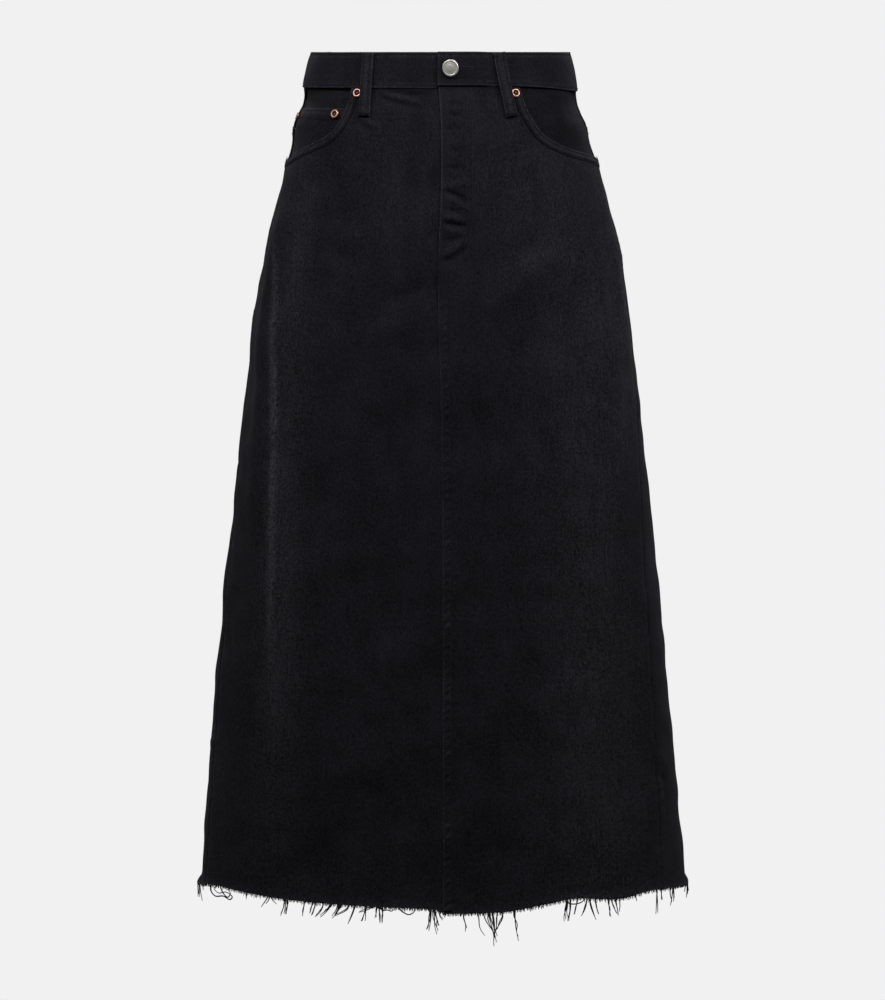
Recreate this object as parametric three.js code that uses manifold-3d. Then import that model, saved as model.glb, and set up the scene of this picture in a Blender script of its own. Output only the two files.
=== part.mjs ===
import * as THREE from "three";
import { mergeVertices } from "three/addons/utils/BufferGeometryUtils.js";
import Module from "manifold-3d";

// A flared denim skirt as it hangs when worn: an open, hollow ring of cloth from a waistband to a raw hem.
// Millimetres, +Z up. The front faces -Y and +X is the wearer's left. The origin is the waistband's centre.
// Angles are degrees round Z: 0 at the centre front, 90 at the wearer's left side, 180 at the centre back.
// A lift is a distance from the skirt's outer form along its outward normal, so a negative one is inside.

// Cloth
const DENIM = 1.3; // one layer
const SEAM_GAP = 0.3; // between pieces that meet edge to edge
const LAYER_GAP = 0.45; // between pieces that lie on each other
const BEHIND_GAP = 0.65; // between the layers of a front pocket, where the form is tightly curved

// Waistband: its ends lap at the centre front, and the wearer's left end lies outside
const BAND_TOP = 18.5;
const BAND_WALL = 2.4;
const BAND_PROUD = 1; // its outer face over the panels' outer face
const BAND_LAP = BAND_WALL + LAYER_GAP; // how far the outer end is raised
const BAND_COLUMNS = { round: 68, under: 4 };
const BAND_ROWS = 2;
const OVER_END_X = -4.9;
const UNDER_END_X = 32;
const LAP_FADE = { from: 19, to: 28.5 }; // angles over which the outer end comes down again

// Buttonhole: a round eye for the shank with a slit beside it
const HOLE = { x: 8.2, z: 1.2, eye: 2.7, slit: 1.7, end: 30, step: 3.6, eyeSteps: 8 };

// Waist button: a rimmed cap on a shank, leaning on it by an angle towards a direction seen from the front
const BUTTON = { radius: 8.7, shank: 1.9, rise: 3.6, sides: 28, lean: 19, leanTo: 215 };

const RIVET_SIDES = 18;

// Belt loops: a strip folded under at both ends, proud of the band between them
const LOOP = { width: 12, columns: 2, top: 17.6 };

// Fly: the wearer's left front laps over the right one
const FLY = { end: -205, fadeEnd: -250, width: 33, fade: 14, underlap: 14, taper: 30, lap: DENIM + 0.4 };

// Front pockets: a facing behind each scooped opening, which runs up behind the band, and a coin pocket on the
// right one. How far a facing reaches behind its panel and past the side seam is in degrees.
const FACING = { columns: 12, top: -11, bottom: -110, behind: 12, pastSeam: 2.4 };
const COIN = { top: -38, bottom: -93, from: -86, to: -45, columns: 9, wall: 1.2 };

// Back pockets: plain patches with a pointed lower edge
const PATCH = { angle: 147, half: 66, taper: 0.9, top: -112, corner: -238, point: -254, columns: 10, rows: 7 };

// Frayed hem: a narrow strip of loose yarn under each panel, with strands that hang from it. Strands keep apart
// by degrees, and the edges of a panel are bare for some degrees more.
const FRAY = { strip: 3.4, apart: 0.6, edge: 1.6 };
const STRAND = { sides: 3, rings: 4, root: 0.5, tip: 0.17, rootDepth: 1.6, bow: 0.12 };

const PANEL_COLUMNS = { front: 17, back: 13 };
const STOPS = { rows: 5, fade: 8 }; // how many rows of a front panel follow its opening, and how many fade

// Sections of the outer form: half widths and depths from the axis, and the power of the rounded oval.
const SECTIONS = [
  { z: 20, right: 135.2, left: 131.0, front: 97, back: 101, power: 2.2 },
  { z: 0, right: 140.7, left: 135.6, front: 100, back: 104, power: 2.2 },
  { z: -18.5, right: 144.3, left: 139.4, front: 103, back: 107, power: 2.25 },
  { z: -34, right: 145.8, left: 141.0, front: 107, back: 111, power: 2.3 },
  { z: -45, right: 151.0, left: 144.8, front: 109, back: 114.5, power: 2.3 },
  { z: -56, right: 155.4, left: 150.2, front: 111, back: 118, power: 2.3 },
  { z: -76, right: 157.5, left: 154.5, front: 113.5, back: 124, power: 2.3 },
  { z: -103, right: 164.6, left: 163.4, front: 116.5, back: 131, power: 2.35 },
  { z: -135, right: 172.9, left: 171.9, front: 119, back: 137, power: 2.35 },
  { z: -187, right: 184.7, left: 184.8, front: 123, back: 142, power: 2.35 },
  { z: -239, right: 195.2, left: 193.0, front: 126.5, back: 143, power: 2.3 },
  { z: -344, right: 207.5, left: 206.4, front: 132, back: 143, power: 2.25 },
  { z: -449, right: 218.9, left: 217.4, front: 137, back: 146, power: 2.2 },
  { z: -555, right: 230.2, left: 228.7, front: 142, back: 150.5, power: 2.2 },
  { z: -661, right: 240.5, left: 239.3, front: 147, back: 155.5, power: 2.15 },
  { z: -768, right: 249.4, left: 249.6, front: 152, back: 160.5, power: 2.15 },
  { z: -846, right: 255.4, left: 256.0, front: 156, back: 164.5, power: 2.15 },
  { z: -858, right: 259.4, left: 259.6, front: 156.6, back: 165, power: 2.15 },
];

// Soft folds of the hanging cloth: a height above the form is a ridge, and one below it is a trough. Their widths
// are in degrees.
const FOLDS = [
  { top: -100, end: -640, from: -77, to: -64, width: 4.4, height: 3.4 },
  { top: -110, end: -560, from: -70, to: -57, width: 4.2, height: -1.6 },
  { top: -104, end: -400, from: 78, to: 75, width: 3.6, height: 2.6 },
  { top: -130, end: -330, from: 71.5, to: 69.5, width: 2.6, height: -2.6 },
  { top: -130, end: -600, from: 66, to: 66, width: 4.2, height: 2.8 },
  { top: -190, end: -840, from: -38, to: -46, width: 7, height: 2.0 },
  { top: -200, end: -840, from: 36, to: 44, width: 7, height: 2.0 },
  { top: -170, end: -760, from: 108, to: 114, width: 5, height: 3.2 },
  { top: -170, end: -760, from: -108, to: -115, width: 5, height: 3.2 },
  { top: -260, end: -850, from: 146, to: 141, width: 7, height: 3.4 },
  { top: -260, end: -850, from: -146, to: -142, width: 7, height: 3.4 },
  { top: -240, end: -850, from: 163, to: 160, width: 6, height: -3 },
  { top: -240, end: -850, from: -163, to: -160, width: 6, height: -3 },
];
const FOLD_RISE = 0.3; // the share of a fold's length over which it comes up, at its top
const FOLD_FALL = 0.45; // and over which it dies away, at its end

// Heights of the panels' rows, the same in every panel so that their seams match.
const LEVELS = [
  -103, -116, -133, -154, -178, -205, -236, -272, -314, -362, -416, -476, -542, -614, -690, -766, -820,
];
const ROWS_ABOVE_LEVELS = { front: 6, back: 4, yoke: 5 };
const POCKET_LEVELS = [-24, -38, -48, -57, -66, -75, -84, -93, -102];

// The waistband's lower edge, round the waist.
const BAND_SEAM = [
  { angle: -180, z: -20 },
  { angle: -100, z: -18.2 },
  { angle: -54, z: -18 },
  { angle: -3, z: -18.4 },
  { angle: 0, z: -15.8 },
  { angle: 31, z: -15.9 },
  { angle: 55, z: -18 },
  { angle: 82, z: -22.1 },
  { angle: 110, z: -21 },
  { angle: 180, z: -20 },
];

// Where the raw hem ends, round the skirt.
const HEM = [
  { angle: -180, z: -853 },
  { angle: -110, z: -852 },
  { angle: -90, z: -855.5 },
  { angle: -72, z: -846.6 },
  { angle: -48, z: -849.7 },
  { angle: -20, z: -851.6 },
  { angle: -3, z: -853 },
  { angle: 1, z: -857.8 },
  { angle: 21, z: -856.7 },
  { angle: 37, z: -850 },
  { angle: 45, z: -846.5 },
  { angle: 58, z: -851 },
  { angle: 67, z: -847.6 },
  { angle: 90, z: -855.5 },
  { angle: 110, z: -852 },
  { angle: 180, z: -853 },
];

// The fly's edge and the centre front seam below it.
const CENTRE_FRONT = [
  { z: -18, x: -4.1 },
  { z: -50, x: -2 },
  { z: -110, x: -1.5 },
  { z: -200, x: -4.4 },
  { z: -332, x: -1.5 },
  { z: -536, x: 0.5 },
  { z: -858, x: 1 },
];

// Side seams: they lean forward towards the hem.
const SIDE_SEAM = [
  { z: -18, right: -90, left: 90 },
  { z: -93, right: -90, left: 90 },
  { z: -300, right: -87, left: 82 },
  { z: -520, right: -83, left: 74.8 },
  { z: -860, right: -80, left: 71.5 },
];

// Edges of the scooped pocket openings, from the band down to the side seam.
const OPENING = [
  { z: -18, right: -47.6, left: 41.4 },
  { z: -36, right: -48.3, left: 42.5 },
  { z: -51, right: -49.9, left: 45.1 },
  { z: -61, right: -52.9, left: 47.7 },
  { z: -68.3, right: -56.9, left: 51 },
  { z: -74.3, right: -62.7, left: 55.8 },
  { z: -80, right: -67.8, left: 62 },
  { z: -84.4, right: -72.4, left: 69 },
  { z: -88, right: -77, left: 75.9 },
  { z: -90.8, right: -83.5, left: 83 },
  { z: -93, right: -90, left: 90 },
];

// The yoke's lower edge: highest at the side seams, lowest at the centre back.
const YOKE_SEAM = [
  { angle: 90, z: -57 },
  { angle: 135, z: -74 },
  { angle: 180, z: -93 },
];

// How a belt loop stands off the skirt along its length.
const LOOP_PROFILE = [
  { at: 0, lift: 1.4, wall: 3 },
  { at: 0.1, lift: 1.4, wall: 3 },
  { at: 0.18, lift: 2.2, wall: 1.8 },
  { at: 0.45, lift: 3, wall: 1.8 },
  { at: 0.72, lift: 2.6, wall: 1.8 },
  { at: 0.86, lift: 1, wall: 1.8 },
  { at: 0.92, lift: 0.4, wall: 2.8 },
  { at: 1, lift: 0.4, wall: 2.8 },
];

// The waist button's cap in half section, from its back to its middle: how far in from its edge, and how high.
const BUTTON_CAP = [
  { inset: 0.9, height: 0 },
  { inset: 0, height: 1.15 },
  { inset: 0.7, height: 2.3 },
  { inset: 2.3, height: 2.2 },
  { inset: 3.4, height: 1.3 },
  { inset: 8.7, height: 1.6 },
];

// A rivet's cap in half section: a ring with a nub in its middle.
const RIVET_CAP = [
  { radius: 4.4, height: 0 },
  { radius: 4.6, height: 0.6 },
  { radius: 3.8, height: 1.5 },
  { radius: 3, height: 1.5 },
  { radius: 2.6, height: 0.8 },
  { radius: 1.5, height: 0.8 },
  { radius: 0, height: 1.35 },
];

// Belt loops, by the angles of their middles at the top and bottom.
const LOOPS = [
  { name: "belt_loop_front_right", top: -41.5, foot: -39.1, end: -46.1 },
  { name: "belt_loop_front_left", top: 32.1, foot: 34.9, end: -47.1 },
  { name: "belt_loop_back_right", top: -118, foot: -118, end: -47 },
  { name: "belt_loop_back_left", top: 118, foot: 118, end: -47 },
  { name: "belt_loop_centre_back", top: 180, foot: 180, end: -47 },
];

// Rivets, by where they sit and what they sit on.
const RIVETS = [
  { name: "rivet_pocket_right", angle: -45.2, z: -24.4, on: "panel" },
  { name: "rivet_pocket_left", angle: 38.6, z: -23.2, on: "panel" },
  { name: "rivet_coin_inner", angle: -53.6, z: -45, on: "coin" },
  { name: "rivet_coin_outer", angle: -82, z: -46.5, on: "coin" },
];

// The hem's longer loose yarns on the front: the first one's place from the centre, how many hang there, how
// far apart, how long, and how far their tips drift.
const TUFTS = [
  { x: -236, count: 3, apart: 4, length: 11, drift: -6 },
  { x: -199, count: 1, apart: 0, length: 7, drift: 1 },
  { x: -179, count: 2, apart: 3, length: 10, drift: -7 },
  { x: -161, count: 2, apart: 3, length: 16, drift: -4 },
  { x: -141, count: 1, apart: 0, length: 15, drift: -3 },
  { x: -131, count: 3, apart: 5, length: 15, drift: -5 },
  { x: -106, count: 2, apart: 2.5, length: 13, drift: -7 },
  { x: -88, count: 1, apart: 0, length: 18, drift: -8 },
  { x: -77, count: 1, apart: 0, length: 14, drift: -5 },
  { x: -65, count: 2, apart: 4, length: 14, drift: -1 },
  { x: -42, count: 1, apart: 0, length: 6, drift: 3 },
  { x: -13, count: 4, apart: 2.4, length: 22, drift: 0.5 },
  { x: 22, count: 1, apart: 0, length: 18, drift: 1.5 },
  { x: 36, count: 1, apart: 0, length: 22, drift: 6 },
  { x: 45, count: 4, apart: 3, length: 20, drift: 1 },
  { x: 52.5, count: 1, apart: 0, length: 35, drift: 2 },
  { x: 73.5, count: 1, apart: 0, length: 30, drift: 2.5 },
  { x: 126, count: 2, apart: 4.5, length: 17, drift: -2 },
  { x: 138, count: 1, apart: 0, length: 11, drift: -3 },
  { x: 147, count: 1, apart: 0, length: 10, drift: -5 },
  { x: 153, count: 2, apart: 4, length: 12, drift: 4 },
  { x: 170, count: 3, apart: 3, length: 14, drift: 2 },
  { x: 197, count: 1, apart: 0, length: 7, drift: 4 },
  { x: 219, count: 3, apart: 4, length: 12, drift: 3 },
  { x: 238, count: 1, apart: 0, length: 9, drift: 6 },
];
const TUFT_SHORTEST = 0.72; // the share of a tuft's length that its other yarns have at least
const BACK_TUFTS = { count: 9, shortest: 8, longest: 24, drift: 5, second: 0.7, margin: 0.25 };
const SHORT_YARNS = { count: 10, shortest: 3.3, longest: 8.2, drift: 1 };

// A sequence of whole numbers that comes out the same in every build.
const RANDOM = { seed: 20, factor: 16807, limit: 2147483647 };

const PASSES = { place: 6, search: 40 }; // of the two searches below
const WELD = 1e-4; // points closer than this are one
const NEAR = 1e-3; // and heights closer than this are the same

const FINISH = {
  denim: new THREE.MeshStandardMaterial({ color: 0x1a191d, roughness: 0.92, metalness: 0 }),
  yarn: new THREE.MeshStandardMaterial({ color: 0x232227, roughness: 0.95, metalness: 0 }),
  steel: new THREE.MeshStandardMaterial({ color: 0xb4b0a6, roughness: 0.34, metalness: 1 }),
  copper: new THREE.MeshStandardMaterial({ color: 0x9a6a54, roughness: 0.4, metalness: 1 }),
};

const wasm = await Module();
wasm.setup();

const mix = (a, b, share) => a + (b - a) * share;
const hump = (share) => 4 * share * (1 - share); // 1 in the middle and 0 at both ends
const clamp = (value, low, high) => Math.min(high, Math.max(low, value));
const smooth = (value) => {
  const share = clamp(value, 0, 1);
  return share * share * (3 - 2 * share);
};

// A smooth curve through one column of a table, level past its ends and never above or below its rows.
function curve(rows, key, column) {
  const sorted = [...rows].sort((a, b) => a[key] - b[key]);
  const xs = sorted.map((row) => row[key]);
  const ys = sorted.map((row) => row[column]);
  const steps = xs.slice(1).map((x, i) => (ys[i + 1] - ys[i]) / (x - xs[i]));
  const slopes = xs.map((_, i) => {
    const before = steps[i - 1] ?? steps[i];
    const after = steps[i] ?? before;
    return before * after > 0 ? (2 * before * after) / (before + after) : 0;
  });
  return (x) => {
    const at = clamp(x, xs[0], xs.at(-1));
    const next = Math.max(1, xs.findIndex((knot) => at <= knot));
    const span = xs[next] - xs[next - 1];
    const t = (at - xs[next - 1]) / span;
    const u = 1 - t;
    return (
      ys[next - 1] * u * u * (1 + 2 * t) +
      ys[next] * t * t * (1 + 2 * u) +
      span * t * u * (slopes[next - 1] * u - slopes[next] * t)
    );
  };
}

const rightWidth = curve(SECTIONS, "z", "right");
const leftWidth = curve(SECTIONS, "z", "left");
const frontDepth = curve(SECTIONS, "z", "front");
const backDepth = curve(SECTIONS, "z", "back");
const ovalPower = curve(SECTIONS, "z", "power");
const bandSeam = curve(BAND_SEAM, "angle", "z");
const hem = curve(HEM, "angle", "z");
const centreFront = curve(CENTRE_FRONT, "z", "x");
const yokeSeam = curve(YOKE_SEAM, "angle", "z");
const loopLift = curve(LOOP_PROFILE, "at", "lift");
const loopWall = curve(LOOP_PROFILE, "at", "wall");
const sideSeam = { right: curve(SIDE_SEAM, "z", "right"), left: curve(SIDE_SEAM, "z", "left") };
const opening = { right: curve(OPENING, "z", "right"), left: curve(OPENING, "z", "left") };
const scoop = { right: curve(OPENING, "right", "z"), left: curve(OPENING, "left", "z") };

const spread = (low, high, count) => Array.from({ length: count + 1 }, (_, i) => mix(low, high, i / count));

const wrap = (angle) => ((((angle + 180) % 360) + 360) % 360) - 180;

function foldHeight(angle, z) {
  return FOLDS.reduce((sum, fold) => {
    const along = (fold.top - z) / (fold.top - fold.end);
    const strength = smooth(along / FOLD_RISE) * smooth((1 - along) / FOLD_FALL);
    const off = wrap(angle - mix(fold.from, fold.to, along)) / fold.width;
    return sum + fold.height * strength * Math.exp(-off * off);
  }, 0);
}

// A point of the outer form.
function formPoint(angle, z) {
  const turn = THREE.MathUtils.degToRad(angle);
  const across = Math.sin(turn) / (Math.sin(turn) < 0 ? rightWidth(z) : leftWidth(z));
  const deep = Math.cos(turn) / (Math.cos(turn) > 0 ? frontDepth(z) : backDepth(z));
  const power = ovalPower(z);
  const radius = (Math.abs(across) ** power + Math.abs(deep) ** power) ** (-1 / power) + foldHeight(angle, z);
  return new THREE.Vector3(radius * Math.sin(turn), -radius * Math.cos(turn), z);
}

const NORMAL_STEP = { angle: 0.4, z: 1 };

function formNormal(angle, z) {
  const around = formPoint(angle + NORMAL_STEP.angle, z).sub(formPoint(angle - NORMAL_STEP.angle, z));
  const up = formPoint(angle, z + NORMAL_STEP.z).sub(formPoint(angle, z - NORMAL_STEP.z));
  return around.cross(up).normalize();
}

const lifted = (angle, z, lift) => formPoint(angle, z).addScaledVector(formNormal(angle, z), lift);

// The angle at which the front of the form has a given x.
function angleAt(x, z) {
  const quarter = 90;
  let low = -quarter;
  let high = quarter;
  for (let pass = 0; pass < PASSES.search; pass++) {
    const middle = (low + high) / 2;
    if (formPoint(middle, z).x < x) low = middle;
    else high = middle;
  }
  return (low + high) / 2;
}

// The angle that a short distance round the skirt takes up.
function degreesOf(distance, angle, z) {
  const perDegree = formPoint(angle + 0.5, z).distanceTo(formPoint(angle - 0.5, z));
  return distance / perDegree;
}

// A closed wall of cloth: outer and inner give a point for each column and row, and rims close its four edges.
function wall(columns, rows, outer, inner) {
  const across = columns + 1;
  const positions = [];
  for (const face of [outer, inner])
    for (let row = 0; row <= rows; row++)
      for (let column = 0; column < across; column++) positions.push(...face(column, row).toArray());
  const out = (column, row) => row * across + column;
  const back = (column, row) => (rows + 1) * across + out(column, row);
  const index = [];
  const quad = (a, b, c, d) => index.push(a, b, c, a, c, d);
  for (let row = 0; row < rows; row++) {
    for (let column = 0; column < columns; column++) {
      const [next, below] = [column + 1, row + 1];
      quad(out(column, row), out(column, below), out(next, below), out(next, row));
      quad(back(column, row), back(next, row), back(next, below), back(column, below));
    }
    quad(out(0, row + 1), out(0, row), back(0, row), back(0, row + 1));
    quad(out(columns, row), out(columns, row + 1), back(columns, row + 1), back(columns, row));
  }
  for (let column = 0; column < columns; column++) {
    quad(out(column, 0), out(column + 1, 0), back(column + 1, 0), back(column, 0));
    quad(out(column + 1, rows), out(column, rows), back(column, rows), back(column + 1, rows));
  }
  return solidGeometry(positions, index);
}

function solidGeometry(positions, index) {
  const geometry = new THREE.BufferGeometry();
  geometry.setAttribute("position", new THREE.Float32BufferAttribute(positions, 3));
  geometry.setIndex(index);
  geometry.computeVertexNormals();
  return geometry;
}

// A wall on the form, between two edges that are angles at a height, with a row for each line of heights.
// Where stops gives the columns' angles near the top, they spread evenly again further down.
function panel({ from, to, rows, columns, stops, lift = () => 0, thickness = DENIM }) {
  const angleOf = (column, row, z) => {
    const even = mix(from(z), to(z), column / columns);
    const isEdge = column === 0 || column === columns;
    return !stops || isEdge ? even : mix(stops(column, z), even, smooth((row - STOPS.rows) / STOPS.fade));
  };
  const place = (column, row) => {
    let z = LEVELS[0];
    let angle = 0;
    for (let pass = 0; pass < PASSES.place; pass++) {
      angle = angleOf(column, row, z);
      z = rows[row](angle);
    }
    return [angle, z];
  };
  const face = (depth) => (column, row) => {
    const [angle, z] = place(column, row);
    return lifted(angle, z, lift(angle, z) - depth);
  };
  return wall(columns, rows.length - 1, face(0), face(thickness));
}

const level = (z) => () => z;
const below = (line, gap) => (angle) => line(angle) - gap;
const between = (upper, lower, count) =>
  Array.from({ length: count - 1 }, (_, i) => (angle) => mix(upper(angle), lower(angle), (i + 1) / count));

// The band's lower edge steps at the centre front, where its outer end lies over the inner one.
const SEAM_STEP = { under: -3, over: 0, before: 356.7, after: 357.1 };
const overSeam = (angle) => bandSeam(Math.max(angle, SEAM_STEP.over));
const underSeam = (angle) => bandSeam(Math.min(wrap(angle), SEAM_STEP.under));
const topOf = {
  right: below((angle) => (angle > 90 ? bandSeam(wrap(angle)) : underSeam(angle)), SEAM_GAP),
  left: below(overSeam, SEAM_GAP),
};
const hemLine = (angle) => hem(wrap(angle));
const panelFoot = below(hemLine, -FRAY.strip - SEAM_GAP);
const yokeLine = (angle) => yokeSeam(Math.abs(wrap(angle)));

// A seam's two edges, half a gap each side of its line. The wearer's right side has negative angles.
function beside(line, shift) {
  return (z) => line(z) + degreesOf(shift, line(z), z);
}

const frontEdge = (z) => angleAt(centreFront(z), z);
const HALF_GAP = SEAM_GAP / 2;

// The fly lap raises the wearer's left front, and its underlap carries the right front on beneath it.
function flyLift(angle, z) {
  const past = formPoint(angle, z).x - FLY.width;
  return FLY.lap * (1 - smooth(past / FLY.fade)) * smooth((z - FLY.fadeEnd) / (FLY.end - FLY.fadeEnd));
}

function underlapEdge(z) {
  const share = clamp((z - FLY.end) / FLY.taper, 0, 1);
  return angleAt(centreFront(z) + FLY.underlap * share - HALF_GAP, z);
}

// A front panel's top edge: the band's seam, and past the corner the scoop down to the side seam.
const corner = { right: OPENING[0].right, left: OPENING[0].left };
const frontTop = {
  right: (angle) => (angle < corner.right ? scoop.right(angle) : topOf.right(angle)),
  left: (angle) => (angle > corner.left ? scoop.left(angle) : topOf.left(angle)),
};

// A front panel's columns near its top: one at each row of the opening's table, the rest even up to the fly.
const SCOOP_COLUMNS = OPENING.length - 1;
const FLY_COLUMNS = PANEL_COLUMNS.front - SCOOP_COLUMNS;
const frontStops = {
  right: (column, z) =>
    column <= SCOOP_COLUMNS
      ? OPENING[SCOOP_COLUMNS - column].right
      : mix(corner.right, underlapEdge(z), (column - SCOOP_COLUMNS) / FLY_COLUMNS),
  left: (column, z) =>
    column >= FLY_COLUMNS
      ? OPENING[column - FLY_COLUMNS].left
      : mix(frontEdge(z), corner.left, column / FLY_COLUMNS),
};

const downFrom = (top, count) => [
  top,
  ...between(top, level(LEVELS[0]), count),
  ...LEVELS.map(level),
  panelFoot,
];
const frontRows = (side) => downFrom(frontTop[side], ROWS_ABOVE_LEVELS.front);
const backRows = downFrom(below(yokeLine, SEAM_GAP), ROWS_ABOVE_LEVELS.back);
const yokeRows = (side) => [topOf[side], ...between(topOf[side], yokeLine, ROWS_ABOVE_LEVELS.yoke), yokeLine];
const CENTRE_BACK = { right: level(-180), left: level(180) };

// The body panels of each side, as spans of angle from the wearer's right to left.
const SPANS = {
  front_right: {
    from: beside(sideSeam.right, HALF_GAP),
    to: underlapEdge,
    rows: frontRows("right"),
    stops: frontStops.right,
  },
  front_left: {
    from: beside(frontEdge, HALF_GAP),
    to: beside(sideSeam.left, -HALF_GAP),
    rows: frontRows("left"),
    stops: frontStops.left,
  },
  back_left: {
    from: beside(sideSeam.left, HALF_GAP),
    to: beside(CENTRE_BACK.left, -HALF_GAP),
    rows: backRows,
  },
  back_right: {
    from: beside(CENTRE_BACK.right, HALF_GAP),
    to: beside(sideSeam.right, -HALF_GAP),
    rows: backRows,
  },
};

const skirt = new THREE.Group();

function addPiece(name, geometry, finish) {
  const mesh = new THREE.Mesh(geometry, finish);
  mesh.name = name;
  skirt.add(mesh);
  return mesh;
}

function addPanels() {
  for (const [name, span] of Object.entries(SPANS)) {
    const columns = name.startsWith("front") ? PANEL_COLUMNS.front : PANEL_COLUMNS.back;
    const lift = name === "front_left" ? flyLift : undefined;
    addPiece(name, panel({ ...span, columns, lift }), FINISH.denim);
  }
}

function addYokes() {
  for (const side of ["left", "right"]) {
    const { from, to } = SPANS["back_" + side];
    const yoke = panel({ from, to, rows: yokeRows(side), columns: PANEL_COLUMNS.back });
    addPiece("yoke_" + side, yoke, FINISH.denim);
  }
}

const UNDER_FRONT = -DENIM - BEHIND_GAP; // the lift of what lies just behind a front panel

function addFrontPockets() {
  const rows = [FACING.top, ...POCKET_LEVELS, FACING.bottom].map(level);
  const hidden = (side, sign) => (z) => opening[side](z) - sign * FACING.behind;
  const outer = (side, sign) => (z) => sideSeam[side](z) + sign * FACING.pastSeam;
  const { columns } = FACING;
  const rightDepth = UNDER_FRONT - COIN.wall - BEHIND_GAP;
  const facings = {
    right: { from: outer("right", -1), to: hidden("right", -1), lift: () => rightDepth },
    left: { from: hidden("left", 1), to: outer("left", 1), lift: () => UNDER_FRONT },
  };
  for (const [side, span] of Object.entries(facings))
    addPiece("pocket_facing_" + side, panel({ ...span, rows, columns }), FINISH.denim);
  const coinRows = POCKET_LEVELS.filter((z) => z <= COIN.top && z >= COIN.bottom).map(level);
  const coin = { from: level(COIN.from), to: level(COIN.to), rows: coinRows, columns: COIN.columns };
  addPiece("coin_pocket", panel({ ...coin, lift: () => UNDER_FRONT, thickness: COIN.wall }), FINISH.denim);
}

function addBackPockets() {
  for (const [side, sign] of [["left", 1], ["right", -1]]) {
    const face = (lift) => (column, row) => {
      const across = (2 * column) / PATCH.columns - 1;
      const down = row / PATCH.rows;
      const foot = mix(PATCH.corner, PATCH.point, 1 - Math.abs(across));
      const z = mix(PATCH.top, foot, down);
      const middle = sign * PATCH.angle;
      const half = degreesOf(PATCH.half * mix(1, PATCH.taper, down), middle, z);
      return lifted(middle + across * half, z, lift);
    };
    const patch = wall(PATCH.columns, PATCH.rows, face(LAYER_GAP + DENIM), face(LAYER_GAP));
    addPiece("back_pocket_" + side, patch, FINISH.denim);
  }
}

function manifoldOf(geometry) {
  const bare = new THREE.BufferGeometry();
  bare.setAttribute("position", geometry.getAttribute("position"));
  bare.setIndex(geometry.index);
  const merged = mergeVertices(bare, WELD);
  const vertProperties = new Float32Array(merged.getAttribute("position").array);
  const triVerts = new Uint32Array(merged.index.array);
  return new wasm.Manifold(new wasm.Mesh({ numProp: 3, vertProperties, triVerts }));
}

function geometryOf(manifold) {
  const { vertProperties, triVerts } = manifold.getMesh();
  return solidGeometry(Array.from(vertProperties), Array.from(triVerts));
}

// The keyhole buttonhole as a cutter: its outline in (x, z), bent to the form between two lifts.
function buttonholeCutter(innerLift, outerLift) {
  const outline = new THREE.Shape();
  const half = HOLE.slit / 2;
  const eyeReach = Math.sqrt(HOLE.eye ** 2 - half ** 2);
  const opened = Math.asin(half / HOLE.eye);
  outline.moveTo(HOLE.end, -half);
  outline.lineTo(HOLE.end, half);
  const stepsAlong = Math.round((HOLE.end - HOLE.x - eyeReach) / HOLE.step);
  for (let i = 1; i < stepsAlong; i++)
    outline.lineTo(mix(HOLE.end, HOLE.x + eyeReach, i / stepsAlong), half);
  for (let i = 0; i <= HOLE.eyeSteps; i++) {
    const turn = mix(opened, 2 * Math.PI - opened, i / HOLE.eyeSteps);
    outline.lineTo(HOLE.x + HOLE.eye * Math.cos(turn), HOLE.eye * Math.sin(turn));
  }
  for (let i = stepsAlong - 1; i > 0; i--)
    outline.lineTo(mix(HOLE.end, HOLE.x + eyeReach, i / stepsAlong), -half);
  const cutter = new THREE.ExtrudeGeometry(outline, { depth: 1, bevelEnabled: false, steps: 1 });
  cutter.deleteAttribute("normal");
  cutter.deleteAttribute("uv");
  const flat = mergeVertices(cutter, WELD);
  const places = flat.getAttribute("position");
  for (let i = 0; i < places.count; i++) {
    const z = HOLE.z + places.getY(i);
    const bent = lifted(angleAt(places.getX(i), z), z, mix(innerLift, outerLift, places.getZ(i)));
    places.setXYZ(i, bent.x, bent.y, bent.z);
  }
  return flat;
}

function addWaistband() {
  const angles = [
    ...spread(angleAt(OVER_END_X, 0), SEAM_STEP.before, BAND_COLUMNS.round),
    ...spread(SEAM_STEP.after, 360 + angleAt(UNDER_END_X, 0), BAND_COLUMNS.under),
  ];
  const face = (depth) => (column, row) => {
    const angle = angles[column];
    const onRight = angle > 180 && angle <= SEAM_STEP.before;
    const foot = onRight ? underSeam(angle) : overSeam(wrap(angle));
    const lap = BAND_LAP * (1 - smooth((angle - LAP_FADE.from) / (LAP_FADE.to - LAP_FADE.from)));
    return lifted(angle, mix(BAND_TOP, foot, row / BAND_ROWS), BAND_PROUD + lap - depth);
  };
  const band = wall(angles.length - 1, BAND_ROWS, face(0), face(BAND_WALL));
  const gapMiddle = BAND_PROUD + LAYER_GAP / 2;
  const cutter = manifoldOf(buttonholeCutter(gapMiddle, gapMiddle + 2 * BAND_LAP));
  addPiece("waistband", geometryOf(manifoldOf(band).subtract(cutter)), FINISH.denim);
}

function addBeltLoops() {
  const rows = LOOP_PROFILE.length - 1;
  for (const loop of LOOPS) {
    const face = (share) => (column, row) => {
      const { at } = LOOP_PROFILE[row];
      const z = mix(LOOP.top, loop.end, at);
      const middle = mix(loop.top, loop.foot, at);
      const half = degreesOf(LOOP.width / 2, middle, z);
      const angle = middle + half * ((2 * column) / LOOP.columns - 1);
      return lifted(angle, z, loopLift(at) + share * loopWall(at));
    };
    addPiece(loop.name, wall(LOOP.columns, rows, face(1), face(0)), FINISH.denim);
  }
}

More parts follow.
